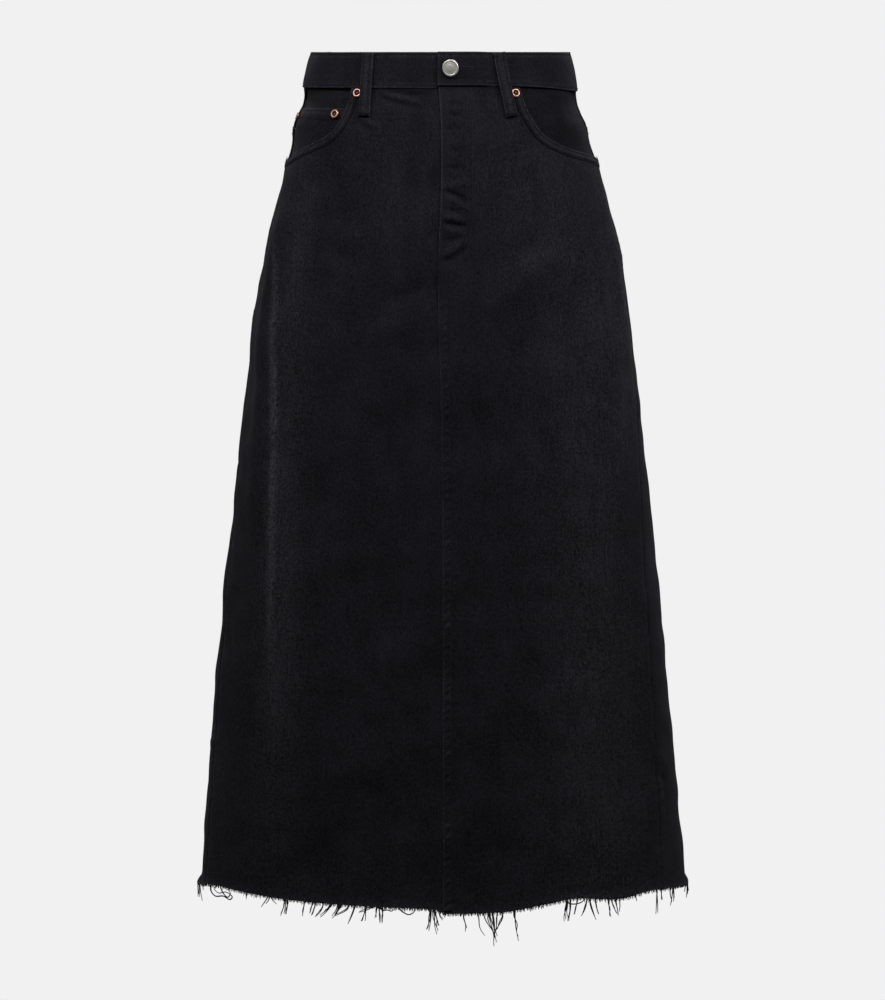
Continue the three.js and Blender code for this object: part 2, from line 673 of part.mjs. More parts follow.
// Stands a lathed piece on the form, its axis along the outward normal.
function seat(mesh, angle, z, lift) {
  mesh.position.copy(lifted(angle, z, lift));
  mesh.quaternion.setFromUnitVectors(new THREE.Vector3(0, 1, 0), formNormal(angle, z));
}

// A lathed solid from half of its section, from the axis and back to it.
function lathed(section, sides) {
  const points = section.map(({ radius, height }) => new THREE.Vector2(radius, height));
  const turned = new THREE.LatheGeometry(points, sides);
  turned.deleteAttribute("normal");
  turned.deleteAttribute("uv");
  return mergeVertices(turned, WELD);
}

function addButton() {
  const angle = angleAt(HOLE.x, HOLE.z);
  const { radius, shank, rise } = BUTTON;
  const capBack = BAND_LAP + rise;
  const section = [
    { radius: 0, height: 0 },
    { radius: shank, height: 0 },
    { radius: shank, height: capBack },
    ...BUTTON_CAP.map(({ inset, height }) => ({ radius: radius - inset, height: capBack + height })),
  ];
  const button = addPiece("waist_button", lathed(section, BUTTON.sides), FINISH.steel);
  seat(button, angle, HOLE.z, BAND_PROUD + SEAM_GAP);
  leanCap(button.geometry, capBack);
}

// Turns a lathed button's cap on its shank: only what is at or past the cap's back moves.
function leanCap(geometry, capBack) {
  const places = geometry.getAttribute("position");
  const towards = THREE.MathUtils.degToRad(BUTTON.leanTo);
  const axis = new THREE.Vector3(Math.cos(towards), 0, Math.sin(towards));
  const pivot = new THREE.Vector3(0, capBack, 0);
  const point = new THREE.Vector3();
  for (let i = 0; i < places.count; i++) {
    point.fromBufferAttribute(places, i);
    if (point.y < capBack - NEAR) continue;
    point.sub(pivot).applyAxisAngle(axis, THREE.MathUtils.degToRad(BUTTON.lean)).add(pivot);
    places.setXYZ(i, point.x, point.y, point.z);
  }
}

function addRivets() {
  const section = [{ radius: 0, height: 0 }, ...RIVET_CAP];
  for (const rivet of RIVETS) {
    const base = rivet.on === "coin" ? UNDER_FRONT : 0;
    const cap = addPiece(rivet.name, lathed(section, RIVET_SIDES), FINISH.copper);
    seat(cap, rivet.angle, rivet.z, base + SEAM_GAP);
  }
}

// A yarn from its root down to its tip: a tapering tube of a few sides with a bend in it.
function strand(root, tip, bow) {
  const { sides, rings } = STRAND;
  const positions = [];
  const index = [];
  for (let ring = 0; ring < rings; ring++) {
    const share = ring / (rings - 1);
    const centre = root.clone().lerp(tip, share).addScaledVector(bow, hump(share));
    const radius = mix(STRAND.root, STRAND.tip, share);
    for (let side = 0; side < sides; side++) {
      const turn = (2 * Math.PI * side) / sides;
      positions.push(centre.x + radius * Math.cos(turn), centre.y + radius * Math.sin(turn), centre.z);
    }
  }
  for (let ring = 0; ring < rings - 1; ring++)
    for (let side = 0; side < sides; side++) {
      const [a, b] = [ring * sides + side, ring * sides + ((side + 1) % sides)];
      index.push(a, a + sides, b + sides, a, b + sides, b);
    }
  const last = (rings - 1) * sides;
  for (let side = 1; side < sides - 1; side++) {
    index.push(0, side, side + 1);
    index.push(last, last + side + 1, last + side);
  }
  return solidGeometry(positions, index);
}

// Even, repeatable numbers from 0 to 1.
function randomNumbers() {
  let state = RANDOM.seed;
  return () => {
    state = (state * RANDOM.factor) % RANDOM.limit;
    return state / RANDOM.limit;
  };
}

// The front's longer yarns, and the back's, which are spread along a panel and hang in pairs.
function frontTufts(random) {
  const yarns = [];
  for (const { x, count, apart, length, drift } of TUFTS)
    for (let i = 0; i < count; i++) {
      const share = i === 0 ? 1 : mix(TUFT_SHORTEST, 1, random());
      yarns.push({ angle: angleAt(x + i * apart, HEM[0].z), length: length * share, drift });
    }
  return yarns;
}

function backTufts(low, high, random) {
  const yarns = [];
  const { count, shortest, longest, second, margin } = BACK_TUFTS;
  for (let i = 0; i < count; i++) {
    const angle = mix(low, high, (i + mix(margin, 1 - margin, random())) / count);
    const drift = BACK_TUFTS.drift * mix(-1, 1, random());
    const length = mix(shortest, longest, random());
    for (const aside of [-FRAY.apart, FRAY.apart])
      yarns.push({ angle: angle + aside, length: length * mix(second, 1, random()), drift });
  }
  return yarns;
}

// Where a panel's yarns hang: its tufts, and short ones spread between them.
function yarnsOf(low, high, name, random) {
  const yarns = name.startsWith("front") ? frontTufts(random) : backTufts(low, high, random);
  const { count, shortest, longest } = SHORT_YARNS;
  for (let i = 0; i < count; i++) {
    const angle = mix(low, high, (i + random()) / count);
    yarns.push({
      angle,
      length: mix(shortest, longest, random()),
      drift: SHORT_YARNS.drift * mix(-1, 1, random()),
    });
  }
  const kept = [];
  const isFree = ({ angle }) => kept.every((other) => Math.abs(other.angle - angle) > FRAY.apart);
  for (const yarn of yarns) if (yarn.angle > low && yarn.angle < high && isFree(yarn)) kept.push(yarn);
  return kept;
}

function addFrayedHem() {
  const random = randomNumbers();
  const rows = [below(hemLine, -FRAY.strip), hemLine];
  for (const [name, span] of Object.entries(SPANS)) {
    const columns = name.startsWith("front") ? PANEL_COLUMNS.front : PANEL_COLUMNS.back;
    let fringe = manifoldOf(panel({ from: span.from, to: span.to, rows, columns }));
    const low = span.from(HEM[0].z);
    const high = span.to(HEM[0].z);
    for (const yarn of yarnsOf(low + FRAY.edge, high - FRAY.edge, name, random)) {
      const place = ((yarn.angle - low) / (high - low)) * columns;
      const cornerOf = (column) => {
        const angle = mix(low, high, column / columns);
        return lifted(angle, hemLine(angle), -DENIM / 2);
      };
      const before = cornerOf(Math.floor(place));
      const after = cornerOf(Math.floor(place) + 1);
      const foot = before.clone().lerp(after, place % 1);
      const around = after.clone().sub(before).normalize();
      const tip = foot.clone().addScaledVector(around, yarn.drift).add(new THREE.Vector3(0, 0, -yarn.length));
      const bow = around.clone().multiplyScalar(STRAND.bow * yarn.length * mix(-0.5, 0.5, random()));
      const root = foot.clone().setZ(foot.z + STRAND.rootDepth);
      fringe = fringe.add(manifoldOf(strand(root, tip, bow)));
    }
    addPiece("fray_" + name, geometryOf(fringe), FINISH.yarn);
  }
}

addWaistband();
addPanels();
addYokes();
addFrontPockets();
addBackPockets();
addBeltLoops();
addButton();
addRivets();
addFrayedHem();

export default skirt;
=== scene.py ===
"""A black denim skirt with a raw hem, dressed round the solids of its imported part.

Tables hold millimetres and degrees. An angle is 0 at the centre front, 90 at the wearer's left side and 180 at the
centre back, and a lift is a distance out from the skirt's form. Meshes are in metres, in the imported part's frame.
"""

import logging
import math
from collections.abc import Callable, Sequence
from dataclasses import dataclass
from enum import Enum

import bpy
import numpy as np
from mathutils import Matrix, Vector


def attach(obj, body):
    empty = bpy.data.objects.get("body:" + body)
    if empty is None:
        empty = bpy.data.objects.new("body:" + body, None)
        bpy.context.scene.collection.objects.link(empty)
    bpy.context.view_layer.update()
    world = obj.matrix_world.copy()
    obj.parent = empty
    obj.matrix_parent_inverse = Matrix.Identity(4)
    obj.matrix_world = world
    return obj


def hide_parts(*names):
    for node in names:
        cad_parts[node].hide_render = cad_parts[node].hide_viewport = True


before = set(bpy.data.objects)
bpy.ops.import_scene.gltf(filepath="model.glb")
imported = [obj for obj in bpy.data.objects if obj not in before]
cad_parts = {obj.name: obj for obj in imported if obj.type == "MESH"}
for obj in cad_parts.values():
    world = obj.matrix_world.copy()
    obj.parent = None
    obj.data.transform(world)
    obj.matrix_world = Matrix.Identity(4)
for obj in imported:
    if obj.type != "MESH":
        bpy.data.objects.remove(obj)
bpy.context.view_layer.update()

Array = np.ndarray
Line = Callable[[Array], Array]
Colour = tuple[float, float, float]
Piece = bpy.types.Object
Look = bpy.types.Material

log = logging.getLogger("skirt")

MM = 0.001
DENIM = 1.3
SEAM_GAP = 0.06
BAND_TOP = 18.5
BAND_WALL = 2.4
BAND_PROUD = 1.0
BAND_LAP = 2.85
BEHIND_FRONT = -1.95
KNEE = -103.0  # the height below which the panels' rows are level
HEM_Z = -852.0  # about the hem's height
RAW_EDGE = 0.6  # how far above the hem's line a panel's cloth ends
DEEPEST_PAINTED_SHADE = -0.3  # the lowest wear value, where painted shade darkens the cloth most

# Sections of the outer form: z, half widths at the right and left, depths at the front and back, oval power.
SECTIONS = (
    (20, 135.2, 131.0, 97, 101, 2.2),
    (0, 140.7, 135.6, 100, 104, 2.2),
    (-18.5, 144.3, 139.4, 103, 107, 2.25),
    (-34, 145.8, 141.0, 107, 111, 2.3),
    (-45, 151.0, 144.8, 109, 114.5, 2.3),
    (-56, 155.4, 150.2, 111, 118, 2.3),
    (-76, 157.5, 154.5, 113.5, 124, 2.3),
    (-103, 164.6, 163.4, 116.5, 131, 2.35),
    (-135, 172.9, 171.9, 119, 137, 2.35),
    (-187, 184.7, 184.8, 123, 142, 2.35),
    (-239, 195.2, 193.0, 126.5, 143, 2.3),
    (-344, 207.5, 206.4, 132, 143, 2.25),
    (-449, 218.9, 217.4, 137, 146, 2.2),
    (-555, 230.2, 228.7, 142, 150.5, 2.2),
    (-661, 240.5, 239.3, 147, 155.5, 2.15),
    (-768, 249.4, 249.6, 152, 160.5, 2.15),
    (-846, 255.4, 256.0, 156, 164.5, 2.15),
    (-858, 259.4, 259.6, 156.6, 165, 2.15),
)

# Long folds of the hanging cloth: top and end heights, angle at the top and end, width in degrees, height.
FOLDS = (
    (-100, -640, -77, -64, 4.4, 3.4),
    (-110, -560, -70, -57, 4.2, -1.6),
    (-104, -400, 78, 75, 3.6, 1.8),
    (-130, -330, 71.5, 69.5, 3.0, -1.2),
    (-130, -600, 66, 66, 4.6, 1.4),
    (-190, -840, -38, -46, 7, 2.0),
    (-200, -840, 36, 44, 7, 2.0),
    (-170, -760, 108, 114, 5, 3.2),
    (-170, -760, -108, -115, 5, 3.2),
    (-260, -850, 146, 141, 7, 3.4),
    (-260, -850, -146, -142, 7, 3.4),
    (-240, -850, 163, 160, 6, -3),
    (-240, -850, -163, -160, 6, -3),
)

# Creases: places along each as (angle, z), then how wide it is and how high, or how deep where that is negative.
CREASES = (
    # the fly and the cloth beside it
    (((-0.6, -120.8), (4.7, -123.9), (9.5, -129.4), (12.8, -137.5)), 2.4, -2.6),
    (((0.2, -127.5), (4.5, -130.5), (8.6, -136), (11, -143)), 3.2, 1.9),
    (((-0.9, -152.5), (6, -155.6), (12.6, -157.5)), 2.2, -2.4),
    (((-0.4, -147), (6, -149.6), (11.8, -151)), 3.0, 1.4),
    (((-0.2, -160), (6, -162.5), (11.5, -164)), 3.2, 1.5),
    (((-2.6, -192), (3.1, -191.5), (9.2, -182), (12, -173)), 2.8, -2.6),
    (((-1.6, -183), (3.4, -183), (7.6, -176), (9.4, -169)), 3.4, 1.5),
    (((-3.2, -118), (6.1, -115.5), (16.2, -115)), 3.4, 1.1),
    (((-0.6, -139), (4, -141), (9, -142.5)), 2.2, -1.1),
    (((-0.8, -170), (4, -171), (10, -168)), 2.4, -1.2),
    (((2.4, -43.4), (6.6, -45.4), (10.8, -46)), 2.4, -1.6),
    (((2, -32.9), (7.3, -34.9), (12.6, -33.9)), 2.4, -1.5),
    (((1.5, -58), (6, -60), (11, -57)), 2.6, -1.1),
    (((1.5, -78), (6, -80.5), (11, -80)), 2.8, -1.2),
    (((1.2, -97), (6, -99), (12, -97)), 3.0, -1.0),
    (((-36, -99), (-21, -102), (-5, -110)), 20, -3.0),
    (((-36.5, -24.5), (-27, -31), (-19, -35.5), (-10, -38)), 2.2, -1.9),
    (((-36, -21.5), (-26, -26), (-16, -31), (-7, -34)), 2.6, 1.3),
    (((-33, -19.5), (-22, -22.5), (-12, -24.5), (-4, -24)), 2.6, -2.4),
    (((-13, -27), (-8, -32), (-4.6, -41)), 2.4, -1.3),
    (((-44.2, -45), (-39.2, -54.7), (-33.3, -64.2)), 2.6, -1.6),
    (((-42, -45), (-36.6, -53), (-30, -60)), 3.2, 1.0),
    (((35.6, -50), (36.4, -60.2), (34.9, -75.3)), 3.5, 1.2),
    (((18, -26), (23, -40), (25, -60)), 3.4, -1.2),
    (((47.5, -163.5), (38.5, -176.3), (28, -193.1), (17.1, -216.2)), 14, -2.6),
    (((49.7, -189.9), (37.8, -206.5), (25.5, -231.5), (15.9, -261.6)), 13, 2.0),
    (((31.1, -102.4), (36, -112.6), (40.9, -120.8)), 11, -1.6),
    (((-1.2, -206), (-10.4, -221.2), (-21.3, -229.3), (-31.6, -231.6)), 8, -1.6),
    (((-1.2, -231.3), (-14.6, -253.5), (-31.2, -267)), 10, 1.4),
    (((-55, -170), (-42, -190), (-30, -200)), 12, -1.4),
    # the crests at the hips
    (((-74.6, -129), (-74, -166), (-69.8, -211), (-67.6, -274), (-65.6, -333), (-63.8, -402), (-61.9, -520)), 2.8, 1.5),
    (((74.1, -148), (74.6, -174), (76.3, -205), (76.9, -236), (80.1, -284)), 2.2, 0.9),
    # broad drags lower down on the front
    (((-42.9, -497), (-24.9, -536), (-7.1, -587)), 24, -3.0),
    (((-49.6, -724), (-27.4, -700), (-5, -674)), 24, 2.6),
    (((35.7, -506), (43.7, -569), (51.8, -632)), 22, -3.0),
    (((11.2, -577), (29.6, -629), (42.3, -692)), 24, 2.4),
    (((-39.8, -784), (-23.4, -762), (-6.8, -740)), 24, -2.6),
    (((-30, -330), (-22, -390), (-9, -440)), 20, -2.2),
    (((8, -330), (18, -370), (30, -390)), 20, -1.8),
    (((6, -760), (20, -790), (36, -800)), 20, -1.8),
    # the side seams
    (((70.7, -706), (74.4, -711), (79.1, -721)), 3.2, 1.6),
    (((69.4, -723), (74.2, -730), (78, -739)), 3.0, -1.3),
    (((73.7, -678), (77.1, -685), (81.8, -691)), 3.0, -0.9),
    (((-77, -690), (-84, -702), (-90, -706)), 3.2, 1.2),
    (((78, -560), (85, -572), (92, -590)), 4.0, -1.0),
    (((-84, -400), (-90, -411), (-97, -417)), 3.6, -0.9),
    # the back
    (((165, -200), (150, -240), (135, -262)), 9, -1.3),
    (((-160, -215), (-148, -245), (-131, -272)), 9, -1.1),
    (((178, -330), (160, -380), (146, -450)), 12, 1.4),
    (((-176, -300), (-158, -372), (-140, -430)), 12, -1.4),
    (((150, -520), (165, -590), (172, -660)), 14, 1.4),
    (((-148, -560), (-160, -640), (-168, -700)), 14, -1.5),
    (((120, -480), (128, -560), (131, -650)), 10, -1.5),
    (((-122, -430), (-128, -520), (-133, -600)), 10, 1.4),
    (((92, -150), (100, -160), (108, -175)), 5, -1.1),
    (((-92, -140), (-100, -152), (-110, -160)), 5, 1.0),
)

# Where the cloth is rubbed pale, with painted highlight too along the hip crests, and with a negative amount where
# painted shade darkens it: places as (angle, z), then the width and how rubbed, below 0 how much painted shade.
RUBS_AND_SHADES = (
    # the left hip's crest: rubbed pale, and painted highlight
    (
        (
            (-75, -108), (-74.6, -129), (-74, -166), (-69.8, -211), (-67.6, -274), (-65.6, -333), (-63.8, -402),
            (-62.6, -480), (-60.9, -558), (-60, -660),
        ),
        4.2,
        0.58,
    ),
    (((-68, 60), (-63, -200), (-60, -300), (-60, -420), (-58, -560), (-57, -880)), 26, 0.2),
    # the right hip's crest: rubbed pale, and painted highlight
    (((74.1, -148), (74.6, -174), (76.3, -205), (76.9, -236), (80.1, -284)), 2.2, 0.3),
    (((60, 100), (57, -260), (56, -400), (56, -560), (55, -700), (53, -860), (53, -1150)), 60, 0.19),
    (((-60, -90), (-30, -100), (0, -95), (30, -100), (60, -90)), 90, 0.06),
    (((73.8, -671), (74.5, -741), (72.7, -834)), 1.8, 0.22),
    (((76, -150), (74, -260), (72, -420)), 26, 0.15),
    # painted shade beside the left pocket's opening, in the hollow beside the fly and along the fly's edge
    (((60, -22), (64, -60), (62, -88)), 22, -0.16),
    (((-21, -104), (-15, -110), (-9, -112)), 10, -0.12),
    (((-4.5, -92), (-5, -122)), 6, -0.16),
    # painted shade down the centre front
    (((0, -540), (0, -660)), 22, -0.06),
    (((50, -560), (50, -660)), 24, 0.07),
    # painted shade low on the wearer's right
    (((-44, -690), (-43, -830)), 24, -0.07),
)

# The waistband's lower edge and the hem, as (angle, z).
BAND_SEAM = (
    (-180, -20), (-100, -18.2), (-54, -18), (-3, -18.4), (0, -15.8), (31, -15.9), (55, -18), (82, -22.1),
    (110, -21), (180, -20),
)
HEM = (
    (-180, -853), (-110, -852), (-90, -855.5), (-72, -846.6), (-48, -849.7), (-20, -851.6), (-3, -853),
    (1, -857.8), (21, -856.7), (37, -850), (45, -846.5), (58, -851), (67, -847.6), (90, -855.5), (110, -852),
    (180, -853),
)

# The fly's edge and the centre front seam below it, as (z, x).
CENTRE_FRONT = ((-18, -4.1), (-50, -2), (-110, -1.5), (-200, -4.4), (-332, -1.5), (-536, 0.5), (-858, 1))

# The fly's two curved rows of stitches as (x, z), the heights that its edge's row passes, and its tacks as (x, z).
FLY_ROWS = (
    (
        (30, -19), (30, -60), (30, -110), (29.6, -150), (27.8, -170), (22, -184), (12, -191.5), (0, -195.5),
        (-4, -197),
    ),
    ((24.6, -19), (24.6, -60), (24.6, -110), (24.2, -148), (22.2, -165), (17, -177.5), (8, -185), (-2, -189)),
)
FLY_EDGE = (-19, -60, -110, -160, -200)
FLY_TACKS = (((-3, -204), (-3, -193.5)), ((27, -142), (21.5, -137)))

# Side seams and the edges of the pocket openings, as (z, right angle, left angle).
SIDE_SEAMS = ((-18, -90, 90), (-93, -90, 90), (-300, -87, 82), (-520, -83, 74.8), (-860, -80, 71.5))
OPENINGS = (
    (-18, -47.6, 41.4), (-36, -48.3, 42.5), (-51, -49.9, 45.1), (-61, -52.9, 47.7), (-68.3, -56.9, 51),
    (-74.3, -62.7, 55.8), (-80, -67.8, 62), (-84.4, -72.4, 69), (-88, -77, 75.9), (-90.8, -83.5, 83),
    (-93, -90, 90),
)

# The yoke's lower edge at the back, as (angle, z).
YOKE_SEAM = ((90, -57), (135, -74), (180, -93))

# Longer yarns of the front's raw hem: x, how far they hang, how far they drift sideways, thickness step.
HEM_YARNS = (
    (-203, 6, 1, 0), (-180, 11, -8, 0), (-178, 7, -5, 0), (-176, 6, 6, 0), (-162, 17, -5, 2), (-159, 15, -3, 1),
    (-142, 15, -3, 1), (-133, 11, -4, 1), (-130, 13, -5, 1), (-122, 14, -9, 1), (-114, 14, -12, 1),
    (-113, 7, -8, 1), (-106, 14, -8, 2), (-103, 11, -8, 1), (-95, 11, -15, 1), (-89, 19, -8, 1), (-78, 15, -5, 2),
    (-72, 6, -14, 1), (-67, 11, -2, 1), (-64, 16, 0, 1), (-61, 16, -1, 1), (-13, 21, -3, 1), (-11, 22, -3, 1),
    (-9, 25, 3, 2), (-7, 17, 2, 1), (-4, 9, 4, 1), (22, 18, 2, 1), (36, 23, 7, 0), (42, 18, 9, 1), (47, 28, 6, 2),
    (51, 35, 3, 1), (56, 21, -3, 1), (61, 20, -7, 1), (74, 31, 3, 1), (127, 22, -1, 2), (132, 22, -3, 1),
    (139, 16, -4, 1), (149, 17, -7, 1), (152, 22, 6, 1), (158, 16, 4, 1), (172, 18, 2, 1), (175, 15, 6, 1),
    (179, 17, 3, 1), (183, 13, 0, 0), (200, 6, 2, 0), (223, 25, -2, 1), (228, 11, -1, 1), (234, 20, 3, 1),
    (235, 24, -4, 1), (244, 10, 2, 0),
)

# Yarns that hang in loops from the front's raw hem, as (x, drop) places along each.
HEM_SNAGS = (
    ((-243, 0), (-242, 7), (-237, 11), (-229, 9), (-222, 11), (-219, 7), (-226, 4), (-234, 7), (-239, 3), (-236, 0)),
    ((-232, 0), (-229, 6), (-224, 9), (-221, 4), (-224, 1)),
    ((-64, 0), (-61, 2.5), (-56, 2), (-52, 3), (-50, 1)),
    ((-44, 0), (-41, 3), (-35, 6), (-30, 4), (-28, 0)),
    ((128, 0), (131, 4), (138, 5), (144, 3), (146, 0)),
)


def smooth(value: Array | float) -> Array:
    """Eases a share from 0 to 1."""
    share = np.clip(value, 0.0, 1.0)
    return share * share * (3 - 2 * share)


def mix(low: Array | float, high: Array | float, share: Array | float) -> Array:
    """The value a share of the way from low to high."""
    return low + (high - low) * share


def wrap(angle: Array | float) -> Array:
    """The same direction, from -180 to 180 degrees."""
    return (np.asarray(angle, float) + 180) % 360 - 180


def level(value: float) -> Line:
    """An edge that keeps one height or angle."""
    return lambda at: value + 0 * at


def bell(distance: Array | float, width: float) -> Array:
    """1 at no distance, and dying away past the width."""
    return np.exp(-((np.asarray(distance) / width) ** 2))


def unit(vectors: Array) -> Array:
    """The vectors at length 1."""
    return vectors / np.linalg.norm(vectors, axis=-1, keepdims=True)


def run_length(points: Array, axis: int = 0) -> Array:
    """How far along the points each one is, in the points' own units.

    Args:
        points: places, with x, y and z on the last axis.
        axis: the axis to walk along.

    Returns:
        Distances, which start at 0.
    """
    steps = np.linalg.norm(np.diff(points, axis=axis), axis=-1)
    before = [(int(number == axis), 0) for number in range(steps.ndim)]
    return np.cumsum(np.pad(steps, before), axis=axis)


class Curve:
    """A smooth curve through a table's points, level past its ends and never past its points."""

    def __init__(self, knots: Sequence[float], values: Sequence[float]) -> None:
        """Takes the points in any order."""
        order = np.argsort(knots)
        self.x = np.asarray(knots, float)[order]
        self.y = np.asarray(values, float)[order]
        steps = np.diff(self.y) / np.diff(self.x)
        before = np.concatenate([steps[:1], steps])
        after = np.concatenate([steps, steps[-1:]])
        agree = before * after > 0
        self.slope = np.where(agree, 2 * before * after / np.where(agree, before + after, 1), 0)

    def __call__(self, x: Array | float) -> Array:
        """The curve's value at x."""
        at = np.clip(x, self.x[0], self.x[-1])
        i = np.clip(np.searchsorted(self.x, at), 1, len(self.x) - 1)
        span = self.x[i] - self.x[i - 1]
        t = (at - self.x[i - 1]) / span
        u = 1 - t
        ends = self.y[i - 1] * u * u * (1 + 2 * t) + self.y[i] * t * t * (1 + 2 * u)
        return ends + span * t * u * (self.slope[i - 1] * u - self.slope[i] * t)


def column(rows: Sequence[Sequence[float]], key: int, value: int) -> Curve:
    """The curve of one column of a table over another."""
    return Curve([row[key] for row in rows], [row[value] for row in rows])


def through(points: Array, steps: int = 6) -> Array:
    """A smooth line through points.

    Args:
        points: the points it passes, one row each.
        steps: how many parts each stretch between two points gets.

    Returns:
        The line's points.
    """
    knots = np.vstack([2 * points[0] - points[1], points, 2 * points[-1] - points[-2]])
    share = np.linspace(0, 1, steps, endpoint=False)[:, None]
    parts = []
    for a, b, c, d in zip(knots, knots[1:], knots[2:], knots[3:]):
        bend = (c - a) * share + (2 * a - 5 * b + 4 * c - d) * share**2 + (3 * b - a - 3 * c + d) * share**3
        parts.append(b + bend / 2)
    return np.vstack([*parts, points[-1:]])


class Ripples:
    """Small waves of the cloth that repeat the same way in each run."""

    COUNT = 26
    SHORTEST = 20.0
    LONGEST = 120.0
    STEEPNESS = 0.003

    def __init__(self, seed: int) -> None:
        """Draws the waves' directions, lengths and phases."""
        draw = np.random.default_rng(seed)
        lengths = self.SHORTEST * (self.LONGEST / self.SHORTEST) ** draw.random(self.COUNT)
        self.waves = unit(draw.normal(size=(self.COUNT, 3))) * (2 * math.pi / lengths)[:, None]
        self.phases = draw.random(self.COUNT) * 2 * math.pi
        self.heights = lengths * self.STEEPNESS

    def at(self, points: Array) -> Array:
        """The cloth's small rise at the points."""
        return np.sin(points @ self.waves.T + self.phases) @ self.heights


def uneven(run: Array, seed: float) -> Array:
    """An irregular ripple along a seam, mostly between -1 and 1.

    Args:
        run: how far along the seam each place is.
        seed: a number that shifts the pattern.

    Returns:
        The ripple's height.
    """
    total = sum(
        np.sin(run * 2 * math.pi / length + seed * (5.1 + length)) * share
        for length, share in ((6.6, 0.5), (9.4, 0.6), (14.5, 0.4))
    )
    return total * (0.65 + 0.35 * np.sin(run * 2 * math.pi / 73 + seed))


class Crease:
    """A soft ridge or trough along a line on the form."""

    FADE = 0.32
    REACH = 3.0

    def __init__(self, line: Array, width: float, height: float) -> None:
        """Takes the line's points, and the crease's width and height."""
        self.line = line
        self.width = width
        self.height = height
        self.run = run_length(line)
        self.low = line.min(0) - self.REACH * width
        self.high = line.max(0) + self.REACH * width

    def rise(self, points: Array) -> Array:
        """How far the crease lifts each of the points.

        Args:
            points: places, with x, y and z on the last axis.

        Returns:
            The lifts, in millimetres.
        """
        flat = points.reshape(-1, 3)
        risen = np.zeros(len(flat))
        near = np.all((flat > self.low) & (flat < self.high), axis=1)
        places = flat[near]
        nearest = np.full(len(places), np.inf)
        along = np.zeros(len(places))
        for a, b, start, end in zip(self.line, self.line[1:], self.run, self.run[1:]):
            share = np.clip((places - a) @ (b - a) / ((b - a) @ (b - a)), 0, 1)
            away = ((places - a - share[:, None] * (b - a)) ** 2).sum(1)
            closer = away < nearest
            nearest[closer] = away[closer]
            along[closer] = mix(start, end, share)[closer] / self.run[-1]
        strength = smooth(along / self.FADE) * smooth((1 - along) / self.FADE)
        risen[near] = self.height * strength * np.exp(-nearest / self.width**2)
        return risen.reshape(points.shape[:-1])


@dataclass(frozen=True)
class Pucker:
    """Short slanting ripples where a seam's thread draws the cloth in."""

    line: Line
    height: float
    width: float
    top: float
    seed: float
    middle: float = 0.0
    slant: float = 0.7

    def rise(self, points: Array, angle: Array, z: Array) -> Array:
        """How far the puckers lift each place.

        Args:
            points: the places.
            angle: their angles.
            z: their heights.

        Returns:
            The lifts, in millimetres.
        """
        per_degree = np.hypot(points[..., 0], points[..., 1]) * math.pi / 180
        away = wrap(angle - self.line(z)) * per_degree - self.middle
        ripple = uneven(z + self.slant * np.abs(away), self.seed)
        return self.height * ripple * bell(away, self.width) * smooth((self.top - z) / 25)


